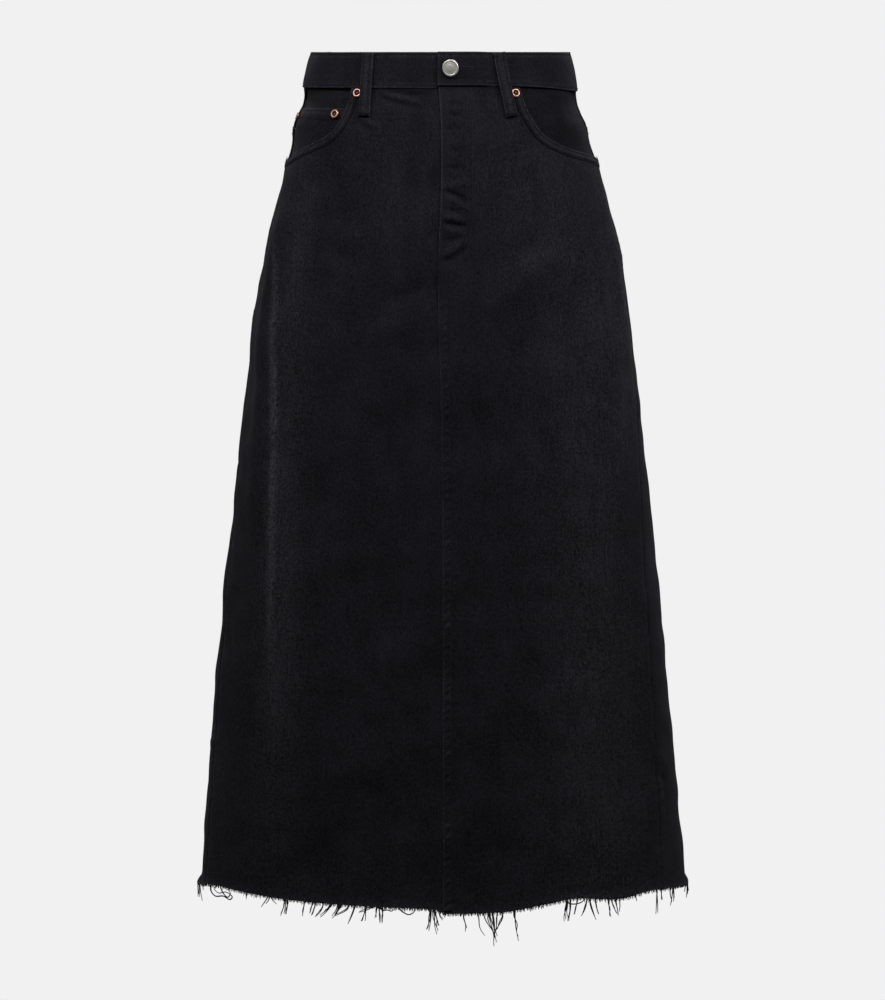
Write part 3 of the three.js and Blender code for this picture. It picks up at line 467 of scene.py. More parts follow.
class Form:
    """The skirt's outer form, and the lines that are drawn on it."""

    STEP_ANGLE = 0.4
    STEP_Z = 1.0
    FOLD_RISE = 0.3
    FOLD_FALL = 0.45
    FLY_END = -205.0
    FLY_FADE = -250.0
    FLY_WIDTH = 33.0
    FLY_LAP = 1.7
    UNDERLAP = 14.0
    CURL = 2.0
    SHARP = 5.0  # creases narrower than this are paler on their crests, from rubbing and painted highlight, and darker in their troughs with painted shade
    CREASE_RUB_AND_SHADE = 0.055  # how much each millimetre of such a crease does so

    def __init__(self) -> None:
        """Reads the tables."""
        self.right, self.left, self.front, self.back, self.power = (column(SECTIONS, 0, i) for i in range(1, 6))
        self.band_line = column(BAND_SEAM, 0, 1)
        self.hem_line = column(HEM, 0, 1)
        self.yoke_line = column(YOKE_SEAM, 0, 1)
        self.centre_x = column(CENTRE_FRONT, 0, 1)
        self.side_right, self.side_left = (column(SIDE_SEAMS, 0, i) for i in (1, 2))
        self.scoop_right, self.scoop_left = (column(OPENINGS, i, 0) for i in (1, 2))
        self.opening_right, self.opening_left = (column(OPENINGS, 0, i) for i in (1, 2))
        heights = np.linspace(-870, 20, 240)
        centre = self.angle_at(self.centre_x(heights), heights)
        self.centre = lambda z: np.interp(z, heights, centre)
        lap = self.UNDERLAP * np.clip((heights - self.FLY_END) / 30, 0, 1)
        under = self.angle_at(self.centre_x(heights) + lap - SEAM_GAP / 2, heights)
        self.underlap = lambda z: np.interp(z, heights, under)
        self.ripples = Ripples(seed=7)
        self.creases = [self._crease(*row) for row in CREASES]
        self.rubs_and_shades = [self._crease(*row) for row in RUBS_AND_SHADES]
        # narrow creases: rubbing and painted highlight on the crests, painted shade in the troughs
        sharp = (row for row in CREASES if row[1] < self.SHARP)
        self.rubs_and_shades += [self._crease(places, width, height * self.CREASE_RUB_AND_SHADE) for places, width, height in sharp]
        self.puckers = (
            Pucker(self.centre, 0.34, 6.0, -215, 1.3, middle=4.5),
            Pucker(level(180), 0.3, 6.5, -95, 2.1),
            Pucker(self.side_right, 0.26, 6.0, -100, 3.7),
            Pucker(self.side_left, 0.3, 6.0, -100, 4.9),
        )

    def _crease(self, places: Sequence[tuple[float, float]], width: float, height: float) -> Crease:
        """The crease of one row of the table."""
        angle, z = np.array(places, float).T
        return Crease(through(self.point(angle, z), 4), width, height)

    def folds(self, angle: Array, z: Array) -> Array:
        """How far the long folds lift each place.

        Args:
            angle: angles of the places.
            z: heights of the places.

        Returns:
            The lifts, in millimetres.
        """
        total = 0.0
        for top, end, start, finish, width, height in FOLDS:
            along = (top - z) / (top - end)
            strength = smooth(along / self.FOLD_RISE) * smooth((1 - along) / self.FOLD_FALL)
            total = total + height * strength * bell(wrap(angle - mix(start, finish, along)), width)
        return total

    def point(self, angle: Array, z: Array) -> Array:
        """The form's own point at an angle and height.

        Args:
            angle: angles of the places.
            z: heights of the places.

        Returns:
            The points, with x, y and z on the last axis.
        """
        turn = np.radians(angle)
        sine, cosine = np.sin(turn), np.cos(turn)
        across = np.abs(sine / np.where(sine < 0, self.right(z), self.left(z)))
        deep = np.abs(cosine / np.where(cosine > 0, self.front(z), self.back(z)))
        power = self.power(z)
        radius = (across**power + deep**power) ** (-1 / power) + self.folds(angle, z)
        return np.stack([radius * sine, -radius * cosine, z + 0 * radius], axis=-1)

    def normal(self, angle: Array, z: Array) -> Array:
        """The form's outward direction at an angle and height.

        Args:
            angle: angles of the places.
            z: heights of the places.

        Returns:
            The directions, at length 1.
        """
        around = self.point(angle + self.STEP_ANGLE, z) - self.point(angle - self.STEP_ANGLE, z)
        up = self.point(angle, z + self.STEP_Z) - self.point(angle, z - self.STEP_Z)
        return unit(np.cross(around, up))

    def relief(self, points: Array, angle: Array, z: Array) -> Array:
        """How far creases, puckers, ripples and the hem's curl lift each place.

        Args:
            points: the places.
            angle: their angles.
            z: their heights.

        Returns:
            The lifts, in millimetres.
        """
        total = self.ripples.at(points)
        for crease in self.creases:
            total = total + crease.rise(points)
        for pucker in self.puckers:
            total = total + pucker.rise(points, angle, z)
        above_hem = z - self.hem_line(wrap(angle))
        return total * smooth((-17 - z) / 10) + self.CURL * (1 - smooth(above_hem / 9))

    def rubbed_and_shaded(self, points: Array) -> Array:
        """How rubbed the cloth is at the points, with painted highlight along the hip crests, and below 0 how much
        painted shade darkens it.
        """
        return sum(rub.rise(points) for rub in self.rubs_and_shades)

    def surface(self, angle: Array, z: Array, has_relief: bool = True) -> tuple[Array, Array]:
        """Points of the cloth's face and its outward directions.

        Args:
            angle: angles of the places.
            z: heights of the places.
            has_relief: whether creases and ripples are there.

        Returns:
            The points and the directions.
        """
        points = self.point(angle, z)
        normals = self.normal(angle, z)
        if has_relief:
            points = points + normals * self.relief(points, angle, z)[..., None]
        return points, normals

    def angle_at(self, x: Array, z: Array) -> Array:
        """The angles at which the front of the form has the given x.

        Args:
            x: how far to the wearer's left each place is.
            z: its height.

        Returns:
            The angles.
        """
        low, high = np.full(np.shape(z), -90.0), np.full(np.shape(z), 90.0)
        for _ in range(36):
            middle = (low + high) / 2
            is_short = self.point(middle, z)[..., 0] < x
            low, high = np.where(is_short, middle, low), np.where(is_short, high, middle)
        return (low + high) / 2

    def place_at(self, x: float, z: float) -> tuple[float, float]:
        """The (angle, z) place of a point of the front."""
        return float(self.angle_at(np.array(x), np.array(z))), z

    def fly_lift(self, angle: Array, z: Array) -> Array:
        """How far the fly's lap raises the wearer's left front."""
        past = self.point(angle, z)[..., 0] - self.FLY_WIDTH
        return self.FLY_LAP * (1 - smooth(past / 14)) * smooth((z - self.FLY_FADE) / (self.FLY_END - self.FLY_FADE))

    def over_seam(self, angle: Array) -> Array:
        """The band's lower edge on the side that laps over."""
        return self.band_line(np.maximum(angle, 0))

    def under_seam(self, angle: Array) -> Array:
        """The band's lower edge on the side beneath."""
        return self.band_line(np.minimum(wrap(angle), -3))


FORM = Form()


def raw_edge(angle: Array) -> Array:
    """The height of the panels' raw edge."""
    return FORM.hem_line(wrap(angle)) + RAW_EDGE


class Patch:
    """Rows and columns of places on the form, and how far each is from the patch's edges."""

    def __init__(self, angle: Array, z: Array, has_relief: bool = True) -> None:
        """Takes the places' angles and heights, a row of the arrays for each row of places."""
        self.angle, self.z = np.broadcast_arrays(angle, z)
        self.face, self.normal = FORM.surface(self.angle, self.z, has_relief)
        across = run_length(self.face, axis=1)
        down = run_length(self.face, axis=0)
        self.from_start, self.to_end = across, across[:, -1:] - across
        self.from_top, self.to_foot = down, down[-1:] - down

    def edge(self) -> Array:
        """How far each place is from the nearest edge."""
        return np.minimum.reduce([self.from_start, self.to_end, self.from_top, self.to_foot])

    def lifted(self, lift: Array | float) -> Array:
        """The places, raised from the cloth's face."""
        return self.face + self.normal * np.broadcast_to(lift, self.z.shape)[..., None]

    def walls(self, lift: Array | float, thickness: float, round_over: float = 0.9, tuck: float = 0.3) -> list[Array]:
        """The two faces of a layer of cloth with rounded edges.

        Args:
            lift: the outer face's height over the form.
            thickness: the layer's thickness.
            round_over: how far in from an edge the rounding starts.
            tuck: the share of the thickness that each face gives up at the edge.

        Returns:
            The outer and the inner face's points.
        """
        near = 1 - np.clip(self.edge() / round_over, 0, 1)
        give = tuck * thickness * (1 - np.sqrt(1 - near**2))
        return [self.lifted(lift - give), self.lifted(lift - thickness + give)]


def ribbon(path: Array, offsets: Array, has_relief: bool = True) -> Patch:
    """A patch that follows a path.

    Args:
        path: the path's (angle, z) places.
        offsets: how far beside the path each column lies, rising; a positive one is to the left of the walk, seen
            from outside.
        has_relief: whether creases and ripples are there.

    Returns:
        The patch, with a row for each place of the path.
    """
    angle, z = path.T
    points = FORM.point(angle, z)
    side = unit(np.cross(FORM.normal(angle, z), np.gradient(points, axis=0)))
    places = points[:, None] + side[:, None] * offsets[None, :, None]
    turned = np.degrees(np.arctan2(places[..., 0], -places[..., 1]))
    return Patch(turned, places[..., 2], has_relief)


def trace(places: Sequence[tuple[float, float]], spacing: float) -> Array:
    """A smooth path on the form through a few places, with evenly spaced points.

    Args:
        places: the (angle, z) places it passes.
        spacing: how far apart its points are.

    Returns:
        The path's (angle, z) points.
    """
    line = through(np.array(places, float), 24)
    run = run_length(FORM.point(*line.T))
    marks = np.linspace(0, run[-1], max(3, round(run[-1] / spacing) + 1))
    return np.stack([np.interp(marks, run, line[:, i]) for i in (0, 1)], axis=-1)


class Slot(Enum):
    """Names of the skirt's kinds of material, which no piece is given here."""

    DENIM = "denim"
    YARN = "yarn"
    BUTTON = "button"
    RIVET = "rivet"


@dataclass(frozen=True)
class Cut:
    """The flat size of what shows of a cloth piece, in metres, and its area where it isn't a rectangle."""

    width: float
    length: float
    area: float | None = None


class Value:
    """One output of a material's nodes, which Python's operators work on through Math nodes."""

    def __init__(self, shader: "Shader", socket: bpy.types.NodeSocket) -> None:
        """Takes the shader that the socket is in."""
        self.shader = shader
        self.socket = socket

    def other(self, name: str | int) -> "Value":
        """Another output of the same node."""
        return Value(self.shader, self.socket.node.outputs[name])

    def __add__(self, more: "Value | float") -> "Value":
        """The sum."""
        return self.shader.math("ADD", self, more)

    __radd__ = __add__

    def __sub__(self, less: "Value | float") -> "Value":
        """The difference."""
        return self.shader.math("SUBTRACT", self, less)

    def __rsub__(self, whole: "Value | float") -> "Value":
        """The difference from a number."""
        return self.shader.math("SUBTRACT", whole, self)

    def __mul__(self, times: "Value | float") -> "Value":
        """The product."""
        return self.shader.math("MULTIPLY", self, times)

    __rmul__ = __mul__

    def __truediv__(self, parts: "Value | float") -> "Value":
        """The quotient."""
        return self.shader.math("DIVIDE", self, parts)

    def __pow__(self, power: "Value | float") -> "Value":
        """The power."""
        return self.shader.math("POWER", self, power)

    def clamped(self) -> "Value":
        """The value, kept from 0 to 1."""
        return self.shader.math("MINIMUM", self.shader.math("MAXIMUM", self, 0.0), 1.0)


Input = Value | float | tuple[float, ...]


class Shader:
    """A material and the nodes that are added to it."""

    def __init__(self, name: str) -> None:
        """Starts an empty material."""
        self.material = bpy.data.materials.new(name)
        self.material.use_nodes = True
        self.material.node_tree.nodes.clear()

    def add(
        self,
        kind: str,
        settings: dict[str, object] | None = None,
        values: dict[str | int, Input] | None = None,
    ) -> Value:
        """Adds a node.

        Args:
            kind: the node's type.
            settings: its own settings, which are set first.
            values: a number, a tuple or a link for each of its sockets.

        Returns:
            The node's first output.
        """
        tree = self.material.node_tree
        node = tree.nodes.new(kind)
        for name, setting in (settings or {}).items():
            setattr(node, name, setting)
        for name, given in (values or {}).items():
            socket = node.inputs[name]
            if isinstance(given, Value):
                tree.links.new(given.socket, socket)
            elif isinstance(given, tuple) and len(socket.default_value) > len(given):
                socket.default_value = (*given, 1.0)
            else:
                socket.default_value = given
        return Value(self, node.outputs[0]) if node.outputs else None

    def math(self, operation: str, *values: Input) -> Value:
        """Adds a Math node."""
        return self.add("ShaderNodeMath", {"operation": operation}, dict(enumerate(values)))

    def stretched(self, place: Value, across: float, up: float) -> Value:
        """A place's coordinates, scaled round the skirt and up it."""
        return self.add("ShaderNodeVectorMath", {"operation": "MULTIPLY"}, {0: place, 1: (across, across, up)})

    def noise(self, place: Value, detail: float = 2.0) -> Value:
        """Soft noise round 0, at one wave a unit."""
        return self.add("ShaderNodeTexNoise", {}, {"Vector": place, "Scale": 1.0, "Detail": detail}) - 0.5

    def blend(self, share: Input, low: Input, high: Input) -> Value:
        """The colour a share of the way from low to high."""
        mixed = self.add("ShaderNodeMix", {"data_type": "RGBA"}, {0: share, 6: low, 7: high})
        return mixed.other(2)

    def shaded(self, colour: Input, amount: Input) -> Value:
        """The colour, made brighter or darker."""
        return self.add("ShaderNodeVectorMath", {"operation": "SCALE"}, {0: colour, "Scale": amount})

    def bump(self, height: Value, strength: float, distance: float) -> Value:
        """The surface's direction over small heights."""
        return self.add("ShaderNodeBump", {}, {"Strength": strength, "Distance": distance, "Height": height})

    def finish(self, values: dict[str | int, Input]) -> Look:
        """Ends the material in one principled surface with the given values.

        Args:
            values: a number, a tuple or a link for each of the surface's sockets.

        Returns:
            The material.
        """
        surface = self.add("ShaderNodeBsdfPrincipled", {}, values)
        self.add("ShaderNodeOutputMaterial", {}, {"Surface": surface})
        return self.material


@dataclass(frozen=True)
class Twill:
    """Overdyed denim: twill lines, slubs and specks, a paler grey where it is rubbed and where painted highlight lies,
    and darker where painted shade lies.
    """

    name: str
    deep: Colour
    # worn_and_lit: the paler grey of rubbed cloth, also used for painted highlight on the hip crests
    worn_and_lit: Colour
    slubs: float = 0.6
    specks: float = 2.4
    patches: float = 0.85
    sheen: float = 0.09
    gloss: float = 0.04
    RING = 190.0  # millimetres from the axis at which the pattern is to scale
    LINES = 960  # twill lines round the skirt
    PAINTED_SHADE_DEPTH = -2.0  # how strongly a wear value below 0 darkens the cloth as painted shade

    def material(self) -> Look:
        """The cloth's material."""
        shader = Shader(self.name)
        x = shader.add("ShaderNodeSeparateXYZ", {}, {0: shader.add("ShaderNodeTexCoord").other("Object")})
        y, z = x.other("Y"), x.other("Z") * (1 / MM)
        reach = (x * x + y * y) ** 0.5
        place = shader.add("ShaderNodeCombineXYZ", {}, {0: x / reach * self.RING, 1: y / reach * self.RING, 2: z})
        slubs = shader.noise(shader.stretched(place, 0.75, 0.045), 3.0)
        weft = shader.noise(shader.stretched(place, 0.07, 0.8), 2.0)
        specks = shader.noise(shader.stretched(place, 0.5, 0.42), 3.0)
        patches = shader.noise(shader.stretched(place, 0.024, 0.014), 3.0)
        turn = shader.math("ARCTAN2", x, y * -1.0)
        twill = shader.math("SINE", turn * self.LINES + z * 3.7 + specks * 5.0)
        rubbed_and_shaded = shader.add("ShaderNodeAttribute", {"attribute_name": "wear_and_shade"}).other("Fac")
        worn_and_lit = (rubbed_and_shaded * (1.0 + slubs * 1.4 + specks * 1.8 + twill * 0.12)).clamped()
        amount = 1.0 + slubs * self.slubs + weft * (self.slubs / 2) + specks * self.specks + patches * self.patches
        colour = shader.shaded(shader.blend(worn_and_lit, self.deep, self.worn_and_lit), amount + twill * 0.05)
        height = twill * 0.28 + slubs * 0.9 + weft * 0.5 + specks * 1.2
        # painted shade: a wear value below 0 darkens the base colour
        painted_shade = (rubbed_and_shaded * self.PAINTED_SHADE_DEPTH).clamped()
        return shader.finish(
            {
                "Base Color": shader.shaded(colour, 1.0 - painted_shade),
                "Roughness": (0.82 + specks * 0.2 - worn_and_lit * 0.1).clamped(),
                "Specular IOR Level": self.gloss,
                "Sheen Weight": self.sheen,
                "Sheen Roughness": 0.45,
                "Sheen Tint": (0.62, 0.6, 0.7),
                "Normal": shader.bump(height, 0.5, 0.0004),
            }
        )


@dataclass(frozen=True)
class Thread:
    """Spun yarn or sewing thread, with fine twisted strands."""

    name: str
    colour: Colour
    sheen: float = 0.2

    def material(self) -> Look:
        """The thread's material."""
        shader = Shader(self.name)
        place = shader.add("ShaderNodeTexCoord").other("Object")
        fibre = shader.noise(shader.stretched(place, 1400.0, 900.0), 2.0)
        drift = shader.noise(shader.stretched(place, 60.0, 45.0), 1.0)
        return shader.finish(
            {
                "Base Color": shader.shaded(self.colour, 1.0 + fibre * 0.7 + drift * 0.8),
                "Roughness": (0.72 + fibre * 0.3).clamped(),
                "Specular IOR Level": 0.1,
                "Sheen Weight": self.sheen,
                "Sheen Roughness": 0.5,
                "Normal": shader.bump(fibre, 0.4, 0.0002),
            }
        )


@dataclass(frozen=True)
class Metal:
    """Plated metal with small scratches, darker where the tarnish attribute is high."""

    name: str
    bright: Colour
    tarnish: Colour
    roughness: float
    metallic: float

    def material(self) -> Look:
        """The metal's material."""
        shader = Shader(self.name)
        place = shader.add("ShaderNodeTexCoord").other("Object")
        cloudy = shader.noise(shader.stretched(place, 420.0, 420.0), 3.0)
        scratch = shader.noise(shader.stretched(place, 2600.0, 500.0), 2.0)
        dark = shader.add("ShaderNodeAttribute", {"attribute_name": "wear_and_shade"}).other("Fac")
        shade = (dark + cloudy * 0.5 + scratch * 0.2).clamped()
        return shader.finish(
            {
                "Base Color": shader.blend(shade, self.bright, self.tarnish),
                "Metallic": (self.metallic - shade * 0.3).clamped(),
                "Roughness": (self.roughness + shade * 0.3 + scratch * 0.25).clamped(),
                "Normal": shader.bump(scratch + cloudy * 0.6, 0.25, 0.0002),
            }
        )


class Finishes:
    """The skirt's finishes, made once."""

    def __init__(self) -> None:
        """Makes each material."""
        self.denim = Twill("denim_black", (0.014, 0.0133, 0.0171), (0.062, 0.06, 0.07)).material()
        self.reverse = Twill("denim_reverse", (0.03, 0.029, 0.034), (0.07, 0.068, 0.075), slubs=0.2).material()
        self.cloth = [self.denim, self.reverse]
        self.thread = Thread("thread_black", (0.0145, 0.0138, 0.0175), sheen=0.08).material()
        self.yarn = Thread("yarn_black", (0.016, 0.0155, 0.0195)).material()
        self.steel = Metal("button_metal", (0.97, 0.945, 0.88), (0.2, 0.19, 0.18), 0.36, 0.66).material()
        self.copper = Metal("rivet_metal", (0.62, 0.33, 0.255), (0.02, 0.012, 0.011), 0.36, 0.9).material()


def quads(first: Array, second: Array, third: Array, fourth: Array) -> Array:
    """Faces from four arrays of corner numbers."""
    return np.stack([first.ravel(), second.ravel(), third.ravel(), fourth.ravel()], axis=-1)


def make_piece(
    name: str, points: Array, faces: Sequence[Sequence[int]], wear_and_shade: Array, looks: Sequence[Look]
) -> Piece:
    """Makes a smooth mesh that rides on the skirt.

    Args:
        name: the piece's name.
        points: its vertices, in millimetres.
        faces: its faces' vertex numbers.
        wear_and_shade: how rubbed or tarnished each vertex is, up to 1, and below 0 how much painted shade darkens the
            cloth.
        looks: its materials.

    Returns:
        The piece.
    """
    mesh = bpy.data.meshes.new(name)
    mesh.from_pydata((points * MM).tolist(), [], faces)
    mesh.attributes.new("wear_and_shade", "FLOAT", "POINT").data.foreach_set("value", wear_and_shade.astype(np.float32))
    mesh.shade_smooth()
    for look in looks:
        mesh.materials.append(look)
    mesh.update()
    piece = bpy.data.objects.new(name, mesh)
    bpy.context.scene.collection.objects.link(piece)
    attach(piece, "root")
    return piece


def make_cloth(
    name: str, walls: Sequence[Array], wear_and_shade: Array | float, looks: Sequence[Look]
) -> Piece:
    """Closes the two faces of a layer of cloth into a piece.

    Args:
        name: the piece's name.
        walls: the outer and the inner face's points, in rows and columns.
        wear_and_shade: how rubbed each place is, and below 0 how much painted shade darkens it.
        looks: the outer and the inner face's material.

    Returns:
        The piece.
    """
    rows, columns = walls[0].shape[:2]
    out = np.arange(rows * columns).reshape(rows, columns)
    back = out + rows * columns
    outer = quads(out[:-1, :-1], out[1:, :-1], out[1:, 1:], out[:-1, 1:])
    inner = quads(back[:-1, :-1], back[:-1, 1:], back[1:, 1:], back[1:, :-1])
    rims = [
        quads(out[1:, 0], out[:-1, 0], back[:-1, 0], back[1:, 0]),
        quads(out[:-1, -1], out[1:, -1], back[1:, -1], back[:-1, -1]),
        quads(out[0, :-1], out[0, 1:], back[0, 1:], back[0, :-1]),
        quads(out[-1, 1:], out[-1, :-1], back[-1, :-1], back[-1, 1:]),
    ]
    faces = np.concatenate([outer, *rims, inner])
    points = np.concatenate([wall.reshape(-1, 3) for wall in walls])
    rubbed_and_shaded = np.broadcast_to(np.clip(wear_and_shade, DEEPEST_PAINTED_SHADE, 1), (rows, columns)).ravel()
    piece = make_piece(name, points, faces.tolist(), np.concatenate([rubbed_and_shaded, rubbed_and_shaded * 0]), looks)
    if len(looks) > 1:
        is_inner = np.arange(len(faces)) >= len(faces) - len(inner)
        piece.data.polygons.foreach_set("material_index", is_inner.astype(np.int32))
    return piece


def edged(count: int, fine: Sequence[float]) -> Array:
    """Shares from 0 to 1 with a few extra ones near both ends.

    Args:
        count: how many even steps lie between them.
        fine: the extra shares near 0, rising, which are mirrored near 1.

    Returns:
        All the shares.
    """
    near = np.array([0.0, *fine])
    return np.concatenate([near, np.linspace(fine[-1], 1 - fine[-1], count + 1)[1:-1], 1 - near[::-1]])


@dataclass(frozen=True)
class Span:
    """A panel's bounds: side edges as angles at a height, and top and foot as heights at an angle."""

    start: Line
    end: Line
    top: Line
    foot: Line

    def patch(self, shares: Array, drops: Array, knee: Line | None = None, along_top: bool = False) -> Patch:
        """The span's places.

        Args:
            shares: the columns' places from the start to the end.
            drops: the rows' places from the top at 0 to the knee at 1, and on to the foot at 2.
            knee: the height at which the rows are level, or None where they go straight from top to foot.
            along_top: whether the upper columns are even along the top edge, which may be steep.

        Returns:
            The patch.
        """
        tops = self._even_on_top(shares) if along_top else shares
        low = knee or self.foot
        weight = smooth((drops - 1) / 0.3)[:, None]
        share = mix(tops[None, :], shares[None, :], weight)
        z = np.full((len(drops), len(shares)), KNEE)
        drop = drops[:, None]
        for _ in range(9):
            angle = mix(self.start(z), self.end(z), share)
            z = mix(self.top(angle), low(angle), np.minimum(drop, 1))
            if knee:
                z = mix(z, self.foot(angle), np.maximum(drop - 1, 0))
        return Patch(angle, z)

    def _even_on_top(self, shares: Array) -> Array:
        """The columns' shares that lie evenly along the top edge.

        Args:
            shares: even shares of the width.

        Returns:
            The shares to use at the top.
        """
        fine = np.linspace(0, 1, 1500)
        z = np.full(fine.shape, -20.0)
        for _ in range(9):
            angle = mix(self.start(z), self.end(z), fine)
            z = self.top(angle)
        run = run_length(FORM.point(angle, z))
        return np.interp(shares * run[-1], run, fine)


def beside(line: Line, shift: float) -> Line:
    """A seam's edge, a short distance to one side of its line.

    Args:
        line: the seam's angle at a height.
        shift: how far beside it the edge lies, positive towards rising angles.

    Returns:
        The edge's angle at a height.
    """

    def edge(z: Array) -> Array:
        """The edge's angle.

        Args:
            z: heights.

        Returns:
            The angles.
        """
        angle = line(z)
        radius = np.linalg.norm(FORM.point(angle, z)[..., :2], axis=-1)
        return angle + np.degrees(shift / radius)

    return edge


class Needlework:
    """Stitches that are gathered into one piece of thread."""

    SIDES = 5
    RINGS = ((-1.0, 0.4, -0.7), (-0.6, 1.0, 0.0), (0.6, 1.0, 0.0), (1.0, 0.4, -0.7))  # along, radius, dip

    def __init__(self, name: str) -> None:
        """Starts an empty piece."""
        self.name = name
        self.parts: list[Array] = []

    def lay(self, starts: Array, ends: Array, normals: Array, radius: float) -> None:
        """Adds a stitch from each start to its end, lying on a surface with the given directions.

        Args:
            starts: where the stitches start.
            ends: where they end.
            normals: the surface's directions there.
            radius: the thread's radius.
        """
        half = (ends - starts) / 2
        along = unit(half)
        up = unit(normals - along * (normals * along).sum(-1, keepdims=True))
        side = np.cross(up, along)
        turns = np.arange(self.SIDES) * 2 * math.pi / self.SIDES
        rings = []
        for share, size, dip in self.RINGS:
            centre = (starts + ends) / 2 + half * share + up * dip * radius
            for turn in turns:
                rings.append(centre + (side * math.cos(turn) + up * math.sin(turn)) * radius * size)
        self.parts.append(np.stack(rings, axis=1).reshape(-1, 3))

    def row(
        self,
        path: Array,
        offset: float = 0.0,
        lift: Array | float = 0.0,
        has_relief: bool = True,
        pitch: float = 3.3,
        radius: float = 0.3,
    ) -> None:
        """Adds a row of stitches beside a path.

        Args:
            path: the path's (angle, z) places.
            offset: how far beside it the row lies.
            lift: how high over the form the cloth is there.
            has_relief: whether the cloth has creases there.
            pitch: how far apart the stitches start.
            radius: the thread's radius.
        """
        strip = ribbon(path, np.array([offset]), has_relief)
        line = strip.face[:, 0] + strip.normal[:, 0] * (np.broadcast_to(lift, len(path)) + radius * 0.5)[:, None]
        run = run_length(line)
        starts = np.arange(pitch / 3, run[-1] - pitch * 0.8, pitch)

        def at(values: Array, marks: Array) -> Array:
            """The values at some marks along the row."""
            return np.stack([np.interp(marks, run, values[:, i]) for i in range(3)], axis=-1)

        middle = at(strip.normal[:, 0], starts + pitch / 2)
        self.lay(at(line, starts), at(line, starts + pitch * 0.8), middle, radius)

    def tack(self, path: Array, width: float, lift: float, has_relief: bool = True) -> None:
        """Adds a bar tack: a dense row of short stitches across a path.

        Args:
            path: the tack's (angle, z) ends.
            width: how long its stitches are.
            lift: how high over the form the cloth is there.
            has_relief: whether the cloth has creases there.
        """
        dense = trace([tuple(place) for place in path], 0.42)
        strip = ribbon(dense, np.array([-width / 2, width / 2]), has_relief)
        lines = strip.face + strip.normal * (lift + 0.2)
        flip = np.arange(len(dense)) % 2 == 0
        starts = lines[:, 0]
        ends = np.where(flip[:, None], np.roll(lines[:, 1], -1, axis=0), lines[:, 1])
        self.lay(starts[:-1], ends[:-1], strip.normal[:-1, 0], 0.27)

    def build(self, look: Look) -> Piece:
        """Makes the piece from all its stitches.

        Args:
            look: the thread's material.

        Returns:
            The piece.
        """
        points = np.concatenate(self.parts)
        each = self.SIDES * len(self.RINGS)
        faces: list[list[int]] = []
        template = np.arange(each).reshape(len(self.RINGS), self.SIDES)
        turned = np.roll(template, -1, axis=1)
        walls = quads(template[:-1], turned[:-1], turned[1:], template[1:])
        starts = np.arange(0, len(points), each)
        faces += (walls[None] + starts[:, None, None]).reshape(-1, 4).tolist()
        faces += (template[0, ::-1][None] + starts[:, None]).tolist()
        faces += (template[-1][None] + starts[:, None]).tolist()
        piece = make_piece(self.name, points, faces, np.zeros(len(points)), [look])
        return piece


